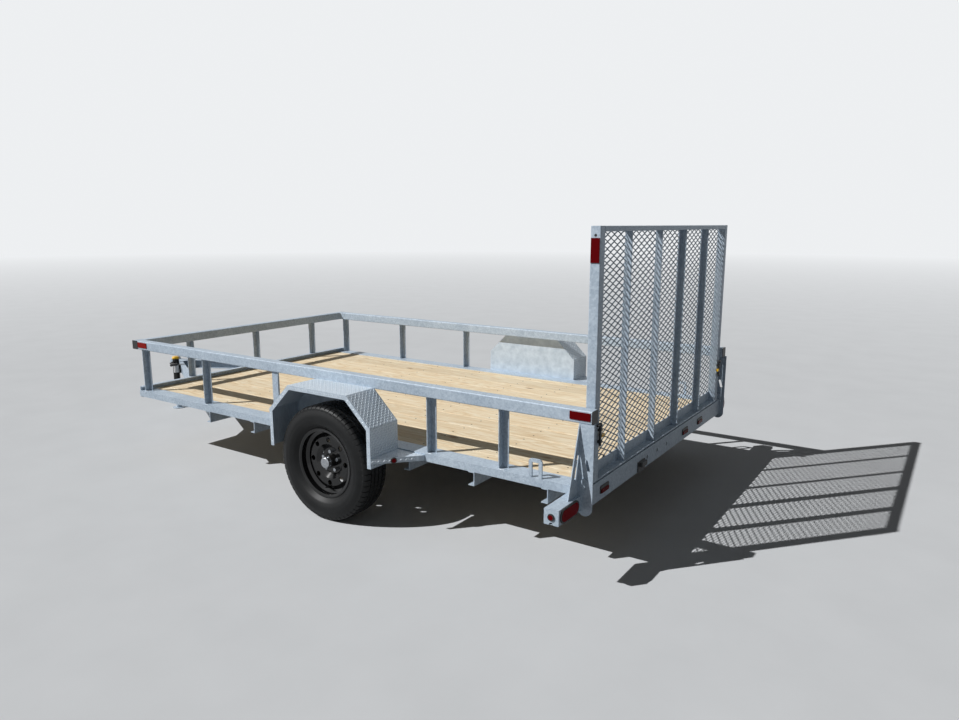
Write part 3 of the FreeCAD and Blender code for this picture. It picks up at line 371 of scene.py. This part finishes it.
def lens(name, dark, light, prism_mm):
    """Dyed acrylic with a square grid of moulded prisms, prism_mm apart, in its bump and its tone."""
    material, tree, shader = new_material(name, Roughness=0.25, Specular_IOR_Level=0.04)
    place = add(tree, "ShaderNodeTexCoord").outputs["Object"]
    cells = add(tree, "ShaderNodeTexVoronoi", links=[(place, "Vector")], Scale=1000 / prism_mm,
                Randomness=0.0)
    colour = ramp(tree, cells.outputs["Distance"], [(0.1, light), (0.6, dark)])
    tree.links.new(colour.outputs["Color"], shader.inputs["Base Color"])
    bumped(tree, shader, cells.outputs["Distance"], 1.0, 0.4)
    return material


# matt, near black, with slow stains
tyre_rubber = speckled("tyre rubber", "#0A0B0C", "#141516", 60.0, 0.50, 0.2, Specular_IOR_Level=0.25)
# sharp highlights on a black that shows nearly no colour of its own
black_enamel = speckled("gloss black enamel", "#050506", "#0B0C0D", 3.0, 0.14, 0.02)
# satin black with the fine texture of its mould, drawn at 1.5 mm so that it shows
# the same black also paints the shade inside the gate's drain holes
black_plastic = speckled("moulded black plastic and painted hole shade", "#101112", "#1B1C1E", 1.5, 0.50, 0.05)
# soft dipped vinyl, a warm yellow with a dull shine
yellow_plastic = speckled("yellow vinyl", "#D9A514", "#EFC02A", 8.0, 0.40)
# grease and dust make bare steel a brownish black
cast_steel = speckled("dark greased steel", "#171616", "#2A2928", 2.0, 0.42, 0.1, Metallic=0.3)
# mirrors the sky in small bright glints
bright_plate = speckled("bright zinc plate", "#9A9EA3", "#BCC0C4", 12.0, 0.20, Metallic=0.9)
# plain paper white
label_stock = speckled("blank white label", "#D6D8D9", "#E2E3E4", 30.0, 0.55)
# deep reds that stay dark with no lamp lit behind them; prisms 4 mm apart, twice the real size, so they show
red_lens = lens("red acrylic lens", "#5A0408", "#B80A1E", 4.0)
amber_lens = lens("orange-red acrylic lens", "#861510", "#C4301F", 4.0)
print("small finishes made")

# %% [markdown]
# ## Dress the CAD parts
# Each part of the trailer is one material all over. Finishes could be given part by part, but the record
# already names a material slot for each node, so the finish goes on by that name and no part is missed.

# %% Assign finishes to the CAD nodes
finish_of_slot = {"galvanised": zinc, "tread_plate": tread_alloy, "pine": pine, "tyre": tyre_rubber,
                  "black_steel": black_enamel, "bright": bright_plate, "black_plastic": black_plastic,
                  "red_lens": red_lens, "amber_lens": amber_lens, "yellow_plastic": yellow_plastic,
                  "cast": cast_steel}
for part in frame["record"]["subparts"]:
    node = nodes[part["node"]]
    node.data.materials.clear()
    node.data.materials.append(finish_of_slot[part["material_slot"]])
print("dressed", len(nodes), "nodes")

# %% [markdown]
# ## Expanded mesh on the gate
# Expanded metal is one slit and stretched sheet: zigzag strands that meet at their peaks. It could be one
# diamond repeated by an Array modifier, but then every joint would be doubled, so whole rows are computed.
# Row k is a triangle wave along Y, and each next row is half a wave further on, so peaks meet valleys and
# leave diamonds.

# %% Make the expanded mesh
mesh_low, mesh_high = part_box("gate_mesh_rising")
DIAMOND_LONG, DIAMOND_SHORT = 0.0762, 0.0339
STRAND_WIDE, SHEET_THICK, STRAND_LAP = 0.0068, 0.0030, 0.35
# a strand's section as shares of (thickness, width): slitting leaves its faces leaning by 16 % of the width
STRAND = np.array([(0.0, -0.5), (1.0, -0.34), (1.0, 0.5), (0.0, 0.34)])


def expanded_sheet(y0, y1, z0, z1, x_back):
    """Row k stands k * short / 2 up, with peaks and valleys (short / 2 - lap * width) / 2 off its middle."""
    across = np.linspace(y0, y1, 2 * round((y1 - y0) / DIAMOND_LONG) + 1)
    rows = np.arange(int((z1 - z0 - STRAND_WIDE) / (DIAMOND_SHORT / 2)))
    phase = np.arange(len(across)) % 2
    up = (phase[None] + rows[:, None]) % 2 - 0.5
    z = z0 + STRAND_WIDE / 2 + DIAMOND_SHORT / 4 + rows[:, None] * DIAMOND_SHORT / 2
    z = z + up * (DIAMOND_SHORT / 2 - STRAND_WIDE * STRAND_LAP)
    profile = STRAND * (SHEET_THICK, STRAND_WIDE)
    x, y, z = np.broadcast_arrays(x_back + profile[:, 0], across[:, None], z[..., None] + profile[:, 1])
    points = np.stack([x, y, z], -1)
    one_row = grid_quads(len(across), 4, close_columns=True)[:, ::-1]
    ends = np.array([(0, 1, 2, 3), np.array((3, 2, 1, 0)) + 4 * (len(across) - 1)])
    one_row = np.concatenate([one_row, ends])
    shift = (rows * len(across) * 4)[:, None, None]
    return points.reshape(-1, 3), (one_row[None] + shift).reshape(-1, 4)


mesh_points, mesh_faces = expanded_sheet(mesh_low.y, mesh_high.y, mesh_low.z, mesh_high.z, mesh_low.x)
# the sheet wears the darker zinc, painted shade for its strands
gate_sheet = piece("expanded_mesh", mesh_points, mesh_faces, "gate", mesh_zinc_painted_shade)
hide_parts("gate_mesh_rising", "gate_mesh_falling")

# %% [markdown]
# ## Tyres with a cut tread
# The tyre is a lathe shape whose radius also changes along the tread. A bump would leave the tread's
# outline smooth, so the cuts are real. Four grooves run round in a zigzag, each shoulder is cut into
# blocks, and the sidewall carries the fine rings that the mould leaves. Sixty pitches of eight rows each go
# round; between two rows of a pitch the shoulder slot or the rib sipe is cut.

# %% Measure the tyre
tyre_low, tyre_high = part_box("tyre_left")
TYRE_R = (tyre_high.z - tyre_low.z) / 2
HALF_WIDE = (tyre_high.y - tyre_low.y) / 2
# W is a distance from the tyre's middle plane and R a radius: first the bead on the rim, then the shoulder
RIM_R, BEAD_W, BEAD_R, BEAD_DEEP = 0.1905, 0.068, 0.2055, 0.011
SHOULDER_W, SHOULDER_R, TREAD_W = HALF_WIDE - 0.011, TYRE_R - 0.027, HALF_WIDE - 0.038
SHOULDER_BULGE, CROWN_DROP = (0.005, 0.006), 0.0015
CASING_W, CASING_R = HALF_WIDE - 0.022, SHOULDER_R - 0.006
RING_COLUMNS, RING_DEEP = (1, 4, 6, 7, 9), 0.0018
GROOVE_AT, GROOVE_W, GROOVE_DEEP, ZIGZAG = (0.045, 0.015), 0.0080, 0.0075, 0.0022
# a groove as shares of its (width, depth)
GROOVE_SECTION = np.array([(0.5, 0), (0.3, 1), (-0.3, 1), (-0.5, 0)])
SLOT_ROWS, SLOT_DEEP, SIPE_ROW, SIPE_DEEP = (1, 2), 0.0050, 5, 0.0030
PITCHES = 60
# where the eight rows lie in one pitch
PITCH_ROWS = np.array([0.0, 0.04, 0.14, 0.18, 0.5, 0.53, 0.56, 0.59])
# what each column across the tyre belongs to
WALL, BLOCK, GROOVE, RIB = range(4)
print("tyre radius %.1f mm, width %.1f mm" % (TYRE_R * 1000, HALF_WIDE * 2000))

# %% [markdown]
# ### From one section to the whole tyre
# Half of the section is drawn from the bead up the wall to the tread, and its mirror image follows. Circles
# through three points give the wall and the shoulder. A mould forms the walls smooth and the tread sharp,
# so only faces whose two edges both belong to the wall are shaded smooth.

# %% Make the tyres
def arc_through(a, b, c, count):
    """Count points from a (left out) to c on the circle through a, b and c: centre + R * (cos, sin)."""
    a, b, c = (np.array(corner, float) for corner in (a, b, c))
    rows = np.array([b - a, c - a]) * 2
    centre = np.linalg.solve(rows, [b @ b - a @ a, c @ c - a @ a])
    start, end = (np.arctan2(*(corner - centre)[::-1]) for corner in (a, c))
    turn = (end - start + np.pi) % (2 * np.pi) - np.pi
    angle = start + turn * np.arange(1, count + 1) / count
    return centre + np.hypot(*(a - centre)) * np.stack([np.cos(angle), np.sin(angle)], -1)


def tyre_section():
    """The closed section as columns (offset, radius), what each one belongs to, and 1 where it sways."""
    wall_r = (BEAD_R - CROWN_DROP + TYRE_R) / 2
    wall = arc_through((BEAD_W, BEAD_R), (HALF_WIDE, wall_r), (SHOULDER_W, SHOULDER_R), 12)
    wall[:, 0] -= np.isin(np.arange(len(wall)), RING_COLUMNS) * RING_DEEP
    bulge = ((SHOULDER_W + TREAD_W) / 2 + SHOULDER_BULGE[0], (SHOULDER_R + TYRE_R) / 2 + SHOULDER_BULGE[1])
    shoulder = arc_through((SHOULDER_W, SHOULDER_R), bulge, (TREAD_W, TYRE_R - CROWN_DROP), 4)
    bead = [(BEAD_W - BEAD_DEEP, RIM_R), (BEAD_W, RIM_R), (BEAD_W, BEAD_R)]
    grooves = [GROOVE_SECTION * (GROOVE_W, -GROOVE_DEEP) + (middle, TYRE_R) for middle in GROOVE_AT]
    half = np.concatenate([bead, wall, shoulder, *grooves])
    kinds = [WALL] * (len(bead) + len(wall)) + [BLOCK] * (len(shoulder) + 1)
    kinds = np.array(kinds + [GROOVE, GROOVE, RIB, RIB, GROOVE, GROOVE, RIB])
    sways = np.arange(len(half)) >= len(half) - 4 * len(GROOVE_AT)
    inside = [(-CASING_W, CASING_R), (CASING_W, CASING_R)]
    section = np.concatenate([half, half[::-1] * (-1, 1), inside])
    kinds = np.concatenate([kinds, kinds[::-1], [WALL] * 2])
    return section, kinds, np.concatenate([sways, sways[::-1], [0] * 2])


def tyre_mesh():
    """Rows round the wheel, columns across: radius = section - cuts, offset = section + zigzag."""
    section, kinds, sways = tyre_section()
    place = (np.arange(PITCHES)[:, None] + PITCH_ROWS).ravel()
    row = np.arange(len(place)) % len(PITCH_ROWS)
    slot = np.isin(row, SLOT_ROWS)[:, None] & (kinds == BLOCK)
    sipe = (row == SIPE_ROW)[:, None] & (kinds == RIB)
    radius = section[:, 1] - slot * SLOT_DEEP - sipe * SIPE_DEEP
    sway = ZIGZAG * (2 * np.abs(2 * (place % 1) - 1) - 1)
    offset = section[:, 0] + sways * sway[:, None]
    angle = (place * 2 * np.pi / PITCHES)[:, None]
    points = np.stack([radius * np.cos(angle), offset, radius * np.sin(angle)], -1)
    quads = grid_quads(len(place), len(section), close_rows=True, close_columns=True)[:, ::-1]
    column = np.tile(np.arange(len(section)), len(place))
    smooth = (kinds[column] == WALL) & (kinds[(column + 1) % len(section)] == WALL)
    return points.reshape(-1, 3), quads, smooth


tyre_points, tyre_faces, tyre_smooth = tyre_mesh()
for side in ("left", "right"):
    low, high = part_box("tyre_" + side)
    points = tyre_points + np.array((low + high) / 2)
    tyre = piece("tyre_tread_" + side, points, tyre_faces, "wheel_" + side, tyre_rubber, tyre_smooth)
    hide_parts("tyre_" + side)

# %% [markdown]
# ## Tread-plate lugs
# Rolled tread plate carries small raised bars in two directions, like a basket weave. Each lug is a little
# roof with pointed ends, six points and six faces, because there are thousands. The fender is bent from one
# strip, so its lugs are laid out flat along the strip's length and then carried round the bends. Its folded
# lip and the step behind it are plates of the same pattern.

# %% Lay out one plate of lugs
LUG_LONG, LUG_WIDE, LUG_HIGH, LUG_PITCH, LUG_EDGE = 0.0180, 0.0056, 0.0018, 0.0148, 0.004
LUG = np.array([(-0.5, 0, 0), (0, -0.5, 0), (0.5, 0, 0), (0, 0.5, 0), (-0.18, 0, 1), (0.18, 0, 1)])
LUG_FACES = np.array([(0, 1, 4), (1, 5, 4), (1, 2, 5), (2, 3, 5), (3, 4, 5), (3, 0, 4)])


def lugs_on_plate(origin, along, across, length, width, keep=lambda u, v: u > 0):
    """Roofs on a square lattice, turned +45 or -45 degrees like a chessboard; up is along x across."""
    origin, along, across = (np.array(way, float) for way in (origin, along, across))
    steps = [(size - 2 * LUG_EDGE) / round((size - 2 * LUG_EDGE) / LUG_PITCH) for size in (length, width)]
    u, v = np.meshgrid(np.arange(LUG_EDGE + steps[0] / 2, length - LUG_EDGE, steps[0]),
                       np.arange(LUG_EDGE + steps[1] / 2, width - LUG_EDGE, steps[1]), indexing="ij")
    i, j = np.indices(u.shape)
    inside = keep(u, v)
    turn = np.where((i + j) % 2, 1.0, -1.0)[inside][:, None]
    half = np.sqrt(0.5)
    long_way = half * along + half * turn * across
    wide_way = half * across - half * turn * along
    up = np.broadcast_to(np.cross(along, across), long_way.shape)
    shape = LUG * (LUG_LONG, LUG_WIDE, LUG_HIGH)
    return placed(shape, LUG_FACES, origin + u[inside][:, None] * along + v[inside][:, None] * across,
                  np.stack([long_way, wide_way, up], 1))


def on_side(name, points, faces):
    """A shape of the left side as it is, or mirrored (y to -y) with its faces turned to point outwards."""
    return (points, faces) if name == "left" else (points * (1, -1, 1), faces[:, ::-1])


print("one lug: %d points, %d faces" % (len(LUG), len(LUG_FACES)))

# %% [markdown]
# ### The step's slanted edge
# Behind each fender a step carries the same plate. Its outer corner is cut off at a slant, with a lip
# folded down along it. The lugs stop short of that edge, as they would where a press has bent the plate.

# %% Measure the step's slanted edge
STEP_RUN, STEP_NOSE, STEP_CLEAR = 0.165, 0.040, 0.010
step_box = solids("fender_steps")
step_low, step_high = (Vector(corner) for corner in step_box[step_box[:, 0, 1].argmax()])
slant = np.array((STEP_RUN, step_high.y - step_low.y - STEP_NOSE))
slant_long = np.linalg.norm(slant)
slant = slant / slant_long
print("slanted edge %.1f mm long" % (slant_long * 1000))


def on_the_step(u, v):
    """True where a lug is clear of the slanted edge: (place - start) x slant, its distance to the line."""
    start = (step_high.x - step_low.x - STEP_RUN, STEP_NOSE)
    return (u - start[0]) * slant[1] - (v - start[1]) * slant[0] > STEP_CLEAR


# %% [markdown]
# ### Round the bends
# A fender's outline has five flats: up, slanting in, along the top, slanting out and down. Each flat gets a
# plate of lugs on its top and another on its lip. The right side is the left one's mirror image.

# %% Lay lugs on the fenders and the steps
# the lower bends' height, half of the flat top, the lip's depth, and how far its lugs sink and stay clear
SHOULDER_Z, HALF_FLAT = 0.612, 0.230
LIP, LIP_SINK, LIP_CLEAR = 0.026, 0.0005, 0.009
for side in ("left", "right"):
    low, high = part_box("fender_" + side)
    middle = (low.x + high.x) / 2
    outline = np.array([(low.x, low.z), (low.x, SHOULDER_Z), (middle - HALF_FLAT, high.z),
                        (middle + HALF_FLAT, high.z), (high.x, SHOULDER_Z), (high.x, low.z)])
    parts = []
    for a, b in zip(outline[:-1], outline[1:]):
        length = np.hypot(*(b - a))
        along = np.array([(b - a)[0], 0, (b - a)[1]]) / length
        parts.append(lugs_on_plate((a[0], low.y, a[1]), along, (0, 1, 0), length, high.y - low.y))
        # the lip is mitred at each bend, half of 45 degrees to a side
        lip_start = (a[0], max(high.y, -low.y) - LIP_SINK, a[1])
        lip = lugs_on_plate(lip_start, along, np.cross((0, 1, 0), along), length, LIP,
                            lambda u, v: np.minimum(u, length - u) > v * np.tan(np.pi / 8) + LIP_CLEAR)
        parts.append(on_side(side, *lip))
    step_top = lugs_on_plate((step_low.x, step_low.y, step_high.z), (1, 0, 0), (0, 1, 0),
                             step_high.x - step_low.x, step_high.y - step_low.y, on_the_step)
    parts.append(on_side(side, *step_top))
    step_lip = lugs_on_plate((step_high.x - STEP_RUN, step_low.y + STEP_NOSE, step_high.z), (*slant, 0),
                             (0, 0, -1), slant_long, step_high.z - step_low.z)
    parts.append(on_side(side, *step_lip))
    points, faces = joined(parts)
    # the lugs' near-white colour is partly wear and partly a painted highlight
    piece("tread_lugs_" + side, points, faces, "chassis", lug_alloy_wear_and_highlight)

# %% [markdown]
# ## Screws in the deck
# Two screws hold each plank on each cross member. Their heads are turned shapes, a few tenths of a
# millimetre proud, with a recess for the driver. A head cut into the plank by a Boolean would cost far more
# points and look the same, so each head is one small turned profile, repeated.

# %% Drive the screws
SCREW_R, SCREW_EDGE, SCREW_STRAY = 0.0050, 0.045, 0.006
# (radius, height) from below the wood over the head and down into the recess
SCREW_HEAD = [(SCREW_R, -0.001), (SCREW_R, 0.0002), (SCREW_R * 0.8, 0.0008), (0.0018, 0.0009), (0.0014, 0.0),
              (0.0, 0.0)]
screw_points, screw_faces = lathe(SCREW_HEAD, 10)
beams = solids("cross_members")
beam_x = np.unique(np.round((beams[:, 0, 0] + beams[:, 1, 0]) / 2, 4))
lanes = np.concatenate([plank_boxes[:, 0, 1] + SCREW_EDGE, plank_boxes[:, 1, 1] - SCREW_EDGE])
x, y = (w.ravel() for w in np.meshgrid(beam_x, np.sort(lanes), indexing="ij"))
# nobody drives screws in a perfect line: waves of their own place stand for chance
stray = SCREW_STRAY * np.stack([np.sin(x * 37 + y * 91), np.cos(x * 53 + y * 67), 0 * x], -1)
spots = np.stack([x, y, np.full(len(x), plank_high[2])], -1) + stray
points, faces = placed(screw_points, screw_faces, spots)
piece("deck_screws", points, faces, "chassis", cast_steel)

# %% [markdown]
# ## Bolt heads on the spring hangers
# A bolt through each hanger holds the eye of its spring. The head is the same kind of turned shape as a
# screw's, with six steps round in place of many, which makes it a hexagon. It sits on the hanger's inner
# face.

# %% Set the bolt heads
HEX_R, HEX_HIGH, HEX_CHAMFER, HEX_TOP = 0.0105, 0.0075, 0.0015, 0.86
EYE_UP = 0.022
hex_head = [(HEX_R, 0.0), (HEX_R, HEX_HIGH - HEX_CHAMFER), (HEX_R * HEX_TOP, HEX_HIGH), (0.0, HEX_HIGH)]
hex_points, hex_faces = lathe(hex_head, 6)
hanger_boxes = solids("spring_hangers")
hanger_middles = hanger_boxes.mean(1)
side_sign = np.sign(hanger_middles[:, 1])
inner = np.abs(hanger_boxes[:, :, 1]).min(1)
bolt_spots = np.stack([hanger_middles[:, 0], side_sign * inner, hanger_boxes[:, 0, 2] + EYE_UP], -1)
bolt_ways = np.stack([0 * side_sign, -side_sign, 0 * side_sign], -1)
points, faces = placed(hex_points, hex_faces, bolt_spots, frames_along(bolt_ways))
piece("hanger_bolt_heads", points, faces, "chassis", bright_plate)

# %% [markdown]
# ## Weld beads
# Each side post is welded to the rail above it and to the frame below. The welder's hand leaves a ripple of
# small scallops along the corner. A smooth round bar would read as pipe, so the bead's radius swells and
# shrinks with its length, and runs out at both ends.

# %% Weld the posts
WELD_R, RIPPLE, SCALLOP, RUN_OUT, THINNEST = 0.0032, 0.0042, 0.22, 0.002, 0.02
FACE_IN, CORNER_IN = 0.003, 0.002


def bead(start, end):
    """Radius = R * (1 - scallop * |sin(pi * s / ripple)|) * root of (way to the nearer end / run-out)."""
    start, end = np.array(start, float), np.array(end, float)
    length = np.linalg.norm(end - start)
    s = np.linspace(0, length, 2 * max(3, round(length / RIPPLE)) + 1)
    r = WELD_R * (1 - SCALLOP * np.abs(np.sin(np.pi * s / RIPPLE)))
    r = r * np.clip(np.minimum(s, length - s) / RUN_OUT, THINNEST, 1) ** 0.5
    a, b, way = frames_along((end - start)[None])[0]
    angle = np.arange(6) * np.pi / 3
    ring = np.cos(angle)[:, None] * a + np.sin(angle)[:, None] * b
    points = start + s[:, None, None] * way + r[:, None, None] * ring
    return points.reshape(-1, 3), grid_quads(len(s), 6, close_columns=True)[:, ::-1]


beads = []
for low, high in solids("rail_posts"):
    outer_y = high[1] if low[1] > 0 else low[1]
    face_x = high[0] - FACE_IN
    for z in (low[2], high[2]):
        beads.append(bead((face_x, low[1] + CORNER_IN, z), (face_x, high[1] - CORNER_IN, z)))
        beads.append(bead((low[0] + CORNER_IN, outer_y, z), (high[0] - CORNER_IN, outer_y, z)))
points, faces = joined(beads)
# the beads are coloured lighter than the flat zinc, a painted highlight
piece("post_weld_beads", points, faces, "chassis", weld_zinc_painted_highlight)

# %% [markdown]
# ## Drain holes in the gate's posts
# A hollow post that is dipped in zinc needs a hole for the zinc to run out. It shows as a small dark disc
# near the post's top, dark from the shade inside it. Only its rim and its dark are seen, so a thin black
# disc on the face stands for the hole: painted shade in place of the shaded inside.

# %% Mark the drain holes
DRAIN_R, DRAIN_DROP, DRAIN_PROUD, DRAIN_TOP = 0.007, 0.042, 0.0003, 0.9
gate_low, gate_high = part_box("gate_frame")
disc_points, disc_faces = lathe([(DRAIN_R, 0.0), (DRAIN_R * DRAIN_TOP, DRAIN_PROUD), (0.0, DRAIN_PROUD)], 16)
post_x = (gate_low.x + gate_high.x) / 2
drain_spots = [(post_x, sign * gate_high.y, gate_high.z - DRAIN_DROP) for sign in (1, -1)]
points, faces = placed(disc_points, disc_faces, drain_spots, frames_along([(0, 1, 0), (0, -1, 0)]))
# the black discs are painted shade for the insides of the holes
piece("gate_drain_hole_shade", points, faces, "gate", black_plastic)

# %% [markdown]
# ## Rubber rings round the small lamps
# The round marker lamps at the light boxes and on the steps' slanted edges are pushed into black rubber
# rings. A torus would be too round, so a ring is a small flat-topped section, turned about the lamp's axis.

# %% Fit the rings
RING_Y, RING_REACH, MARKER_PROUD = 1.06, 0.010, 0.0015
# (out from the lamp's edge, up from its seat)
RING_SECTION = np.array([(0.0055, -0.004), (0.0055, 0.0), (0.0040, 0.002), (0.0, 0.002), (0.0, -0.004)])
marker_boxes = solids("marker_lamps")
round_ones = marker_boxes[np.abs(marker_boxes.mean(1))[:, 1] > RING_Y]
lamp_r = (round_ones[:, 1, 2] - round_ones[:, 0, 2]).min() / 2
ring_points, ring_faces = lathe(RING_SECTION + (lamp_r, 0), 24, closed=True)
lamp_middles = round_ones.mean(1)
# a lamp faces straight out, or square to the slanted edge when it is on a step
on_step = lamp_middles[:, :1] > step_low.x - RING_REACH
ways = np.where(on_step, (-slant[1], slant[0], 0.0), (0.0, 1.0, 0.0))
ways = ways * np.stack([np.ones(len(ways)), np.sign(lamp_middles[:, 1]), np.ones(len(ways))], -1)
points, faces = placed(ring_points, ring_faces, lamp_middles + ways * MARKER_PROUD, frames_along(ways))
piece("marker_rings", points, faces, "chassis", black_plastic)

# %% [markdown]
# ## A label on the jack
# The jack's tube carries a paper label, left blank here. It could be painted on by a mask in the material,
# but a paper has an edge of its own, so it is a thin curved sheet just off the tube.

# %% Wrap the label
JACK_CAP_WALL, LABEL_OFF, LABEL_COLUMNS = 0.003, 0.0003, 24
LABEL_LOW, LABEL_HIGH, LABEL_FROM, LABEL_TO = 0.335, 0.405, 95, 205
cap_low, cap_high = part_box("jack_cap")
jack_middle = (cap_low + cap_high) / 2
label_r = (cap_high.x - cap_low.x) / 2 - JACK_CAP_WALL + LABEL_OFF
turn = np.radians(np.linspace(LABEL_FROM, LABEL_TO, LABEL_COLUMNS))
angle, z = np.meshgrid(turn, np.linspace(LABEL_LOW, LABEL_HIGH, 2), indexing="ij")
points = np.stack([jack_middle.x + label_r * np.cos(angle), jack_middle.y + label_r * np.sin(angle), z], -1)
label_faces = grid_quads(LABEL_COLUMNS, 2)[:, ::-1]
piece("jack_label", points.reshape(-1, 3), label_faces, "chassis", label_stock, True)

# %% [markdown]
# ## Valves in the wheels
# A tyre's valve is a rubber stem that narrows, with a screwed cap. It stands in the wall of the rim, below
# the hub, and leans a little inwards to the hub. It is one turned profile, and it rides on its wheel, so it
# goes round with it.

# %% Fit the valves
VALVE_R, VALVE_OUT, VALVE_FORWARD, VALVE_LEAN = 0.160, 0.020, 0.012, 0.25
# (radius, height) from the foot over the stem to the cap
VALVE_STEM = [(0.0, 0.0), (0.0080, 0.0), (0.0078, 0.006), (0.0056, 0.014), (0.0052, 0.024), (0.0044, 0.025)]
VALVE_CAP = [(0.0050, 0.026), (0.0050, 0.035), (0.0040, 0.038), (0.0, 0.038)]
valve_points, valve_faces = lathe(VALVE_STEM + VALVE_CAP, 16)
for side, outward in (("left", 1), ("right", -1)):
    low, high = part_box("tyre_" + side)
    foot = np.array((low + high) / 2) + (VALVE_FORWARD, outward * VALVE_OUT, -VALVE_R)
    points, faces = placed(valve_points, valve_faces, foot[None], frames_along([(0, outward, VALVE_LEAN)]))
    piece("valve_" + side, points, faces, "wheel_" + side, tyre_rubber, True)

# %% [markdown]
# ## A pale floor without a horizon
# A product stands on a pale sweep that runs up into the wall behind it. A curved sweep would show its bend
# from some sides, so this floor is one wide flat square that fades into the sky's own colour with distance.

# %% Lay the floor
FLOOR_HALF = 300
floor_mesh = bpy.data.meshes.new("floor")
corners = [(x * FLOOR_HALF, y * FLOOR_HALF, 0) for x, y in ((-1, -1), (1, -1), (1, 1), (-1, 1))]
floor_mesh.from_pydata(corners, [], [(0, 1, 2, 3)])
floor = bpy.data.objects.new("floor", floor_mesh)
scene.collection.objects.link(floor)
floor_paint = speckled("pale studio floor", "#CCCED0", "#D0D2D4", 400.0, 0.9, Specular_IOR_Level=0.1)
floor_mesh.materials.append(floor_paint)
print("floor laid")

# %% [markdown]
# ### Fade and bounce
# Light Path tells who asks: the camera, a reflection and a see-through surface see the fade, while light
# that is only gathered doesn't, so the bright distance throws nothing on the trailer. Light that bounces
# off the floor meets a darker grey, which keeps the shaded faces of the steel in shade.

# %% Fade the floor and grey its bounce
BACKDROP_COLOUR, BACKDROP, FLOOR_BOUNCE = "#F4F6F8", 0.94, "#8C8E90"
FADE_FROM, FADE_TO = 5.0, 40.0


def seen_directly(tree):
    """1 where the camera, a reflection or a see-through surface looks, and 0 where only light is gathered."""
    path = add(tree, "ShaderNodeLightPath")
    seen = add(tree, "ShaderNodeMath", operation="MAXIMUM",
               links=[(path.outputs["Is Camera Ray"], 0), (path.outputs["Is Glossy Ray"], 1)])
    return add(tree, "ShaderNodeMath", operation="MAXIMUM",
               links=[(seen.outputs[0], 0), (path.outputs["Is Transmission Ray"], 1)]).outputs[0]


tree = floor_paint.node_tree
paint = tree.nodes["Principled BSDF"]
place = add(tree, "ShaderNodeTexCoord").outputs["Object"]
far = add(tree, "ShaderNodeVectorMath", links=[(place, 0)], operation="LENGTH").outputs["Value"]
fade = add(tree, "ShaderNodeMapRange", links=[(far, "Value")], i1=FADE_FROM, i2=FADE_TO).outputs[0]
share = add(tree, "ShaderNodeMath", links=[(fade, 0), (seen_directly(tree), 1)], operation="MULTIPLY")
glow = add(tree, "ShaderNodeEmission", Color=linear(BACKDROP_COLOUR), Strength=BACKDROP)
pale = paint.inputs["Base Color"].links[0].from_socket
bounce = add(tree, "ShaderNodeMix", links=[(seen_directly(tree), 0), (pale, 7)], data_type="RGBA",
             i6=linear(FLOOR_BOUNCE))
tree.links.new(bounce.outputs[2], paint.inputs["Base Color"])
mixed = add(tree, "ShaderNodeMixShader",
            links=[(share.outputs[0], 0), (paint.outputs[0], 1), (glow.outputs[0], 2)])
tree.links.new(mixed.outputs[0], tree.nodes["Material Output"].inputs["Surface"])
print("floor fades from %.0f to %.0f m" % (FADE_FROM, FADE_TO))

# %% [markdown]
# ### Key light and sky
# One key light stands high at the front left and has the sun's small disc, so shadows are crisp and the
# rear faces of the steel fall into shade. An area lamp would light the near end more than the far one, and
# a sun doesn't. A weak pale sky fills the shade: it is seen near white, while the light that it gives stays
# low.

# %% Key light and sky
KEY_ENERGY, KEY_FROM, KEY_DISC, FILL = 3.8, (0.485, 0.56, 0.672), 0.5, 0.07
key_data = bpy.data.lights.new("key", "SUN")
key_data.energy = KEY_ENERGY
key_data.angle = np.radians(KEY_DISC)
key = bpy.data.objects.new("key", key_data)
scene.collection.objects.link(key)
key.rotation_euler = Vector(KEY_FROM).to_track_quat("Z", "Y").to_euler()
world = bpy.data.worlds.new("studio")
scene.world = world
world.use_nodes = True
tree = world.node_tree
level = add(tree, "ShaderNodeMapRange", links=[(seen_directly(tree), "Value")], i3=FILL, i4=BACKDROP)
tree.links.new(level.outputs[0], tree.nodes["Background"].inputs["Strength"])
tree.nodes["Background"].inputs["Color"].default_value = linear(BACKDROP_COLOUR)
scene.view_settings.view_transform = "Standard"
print("lit")
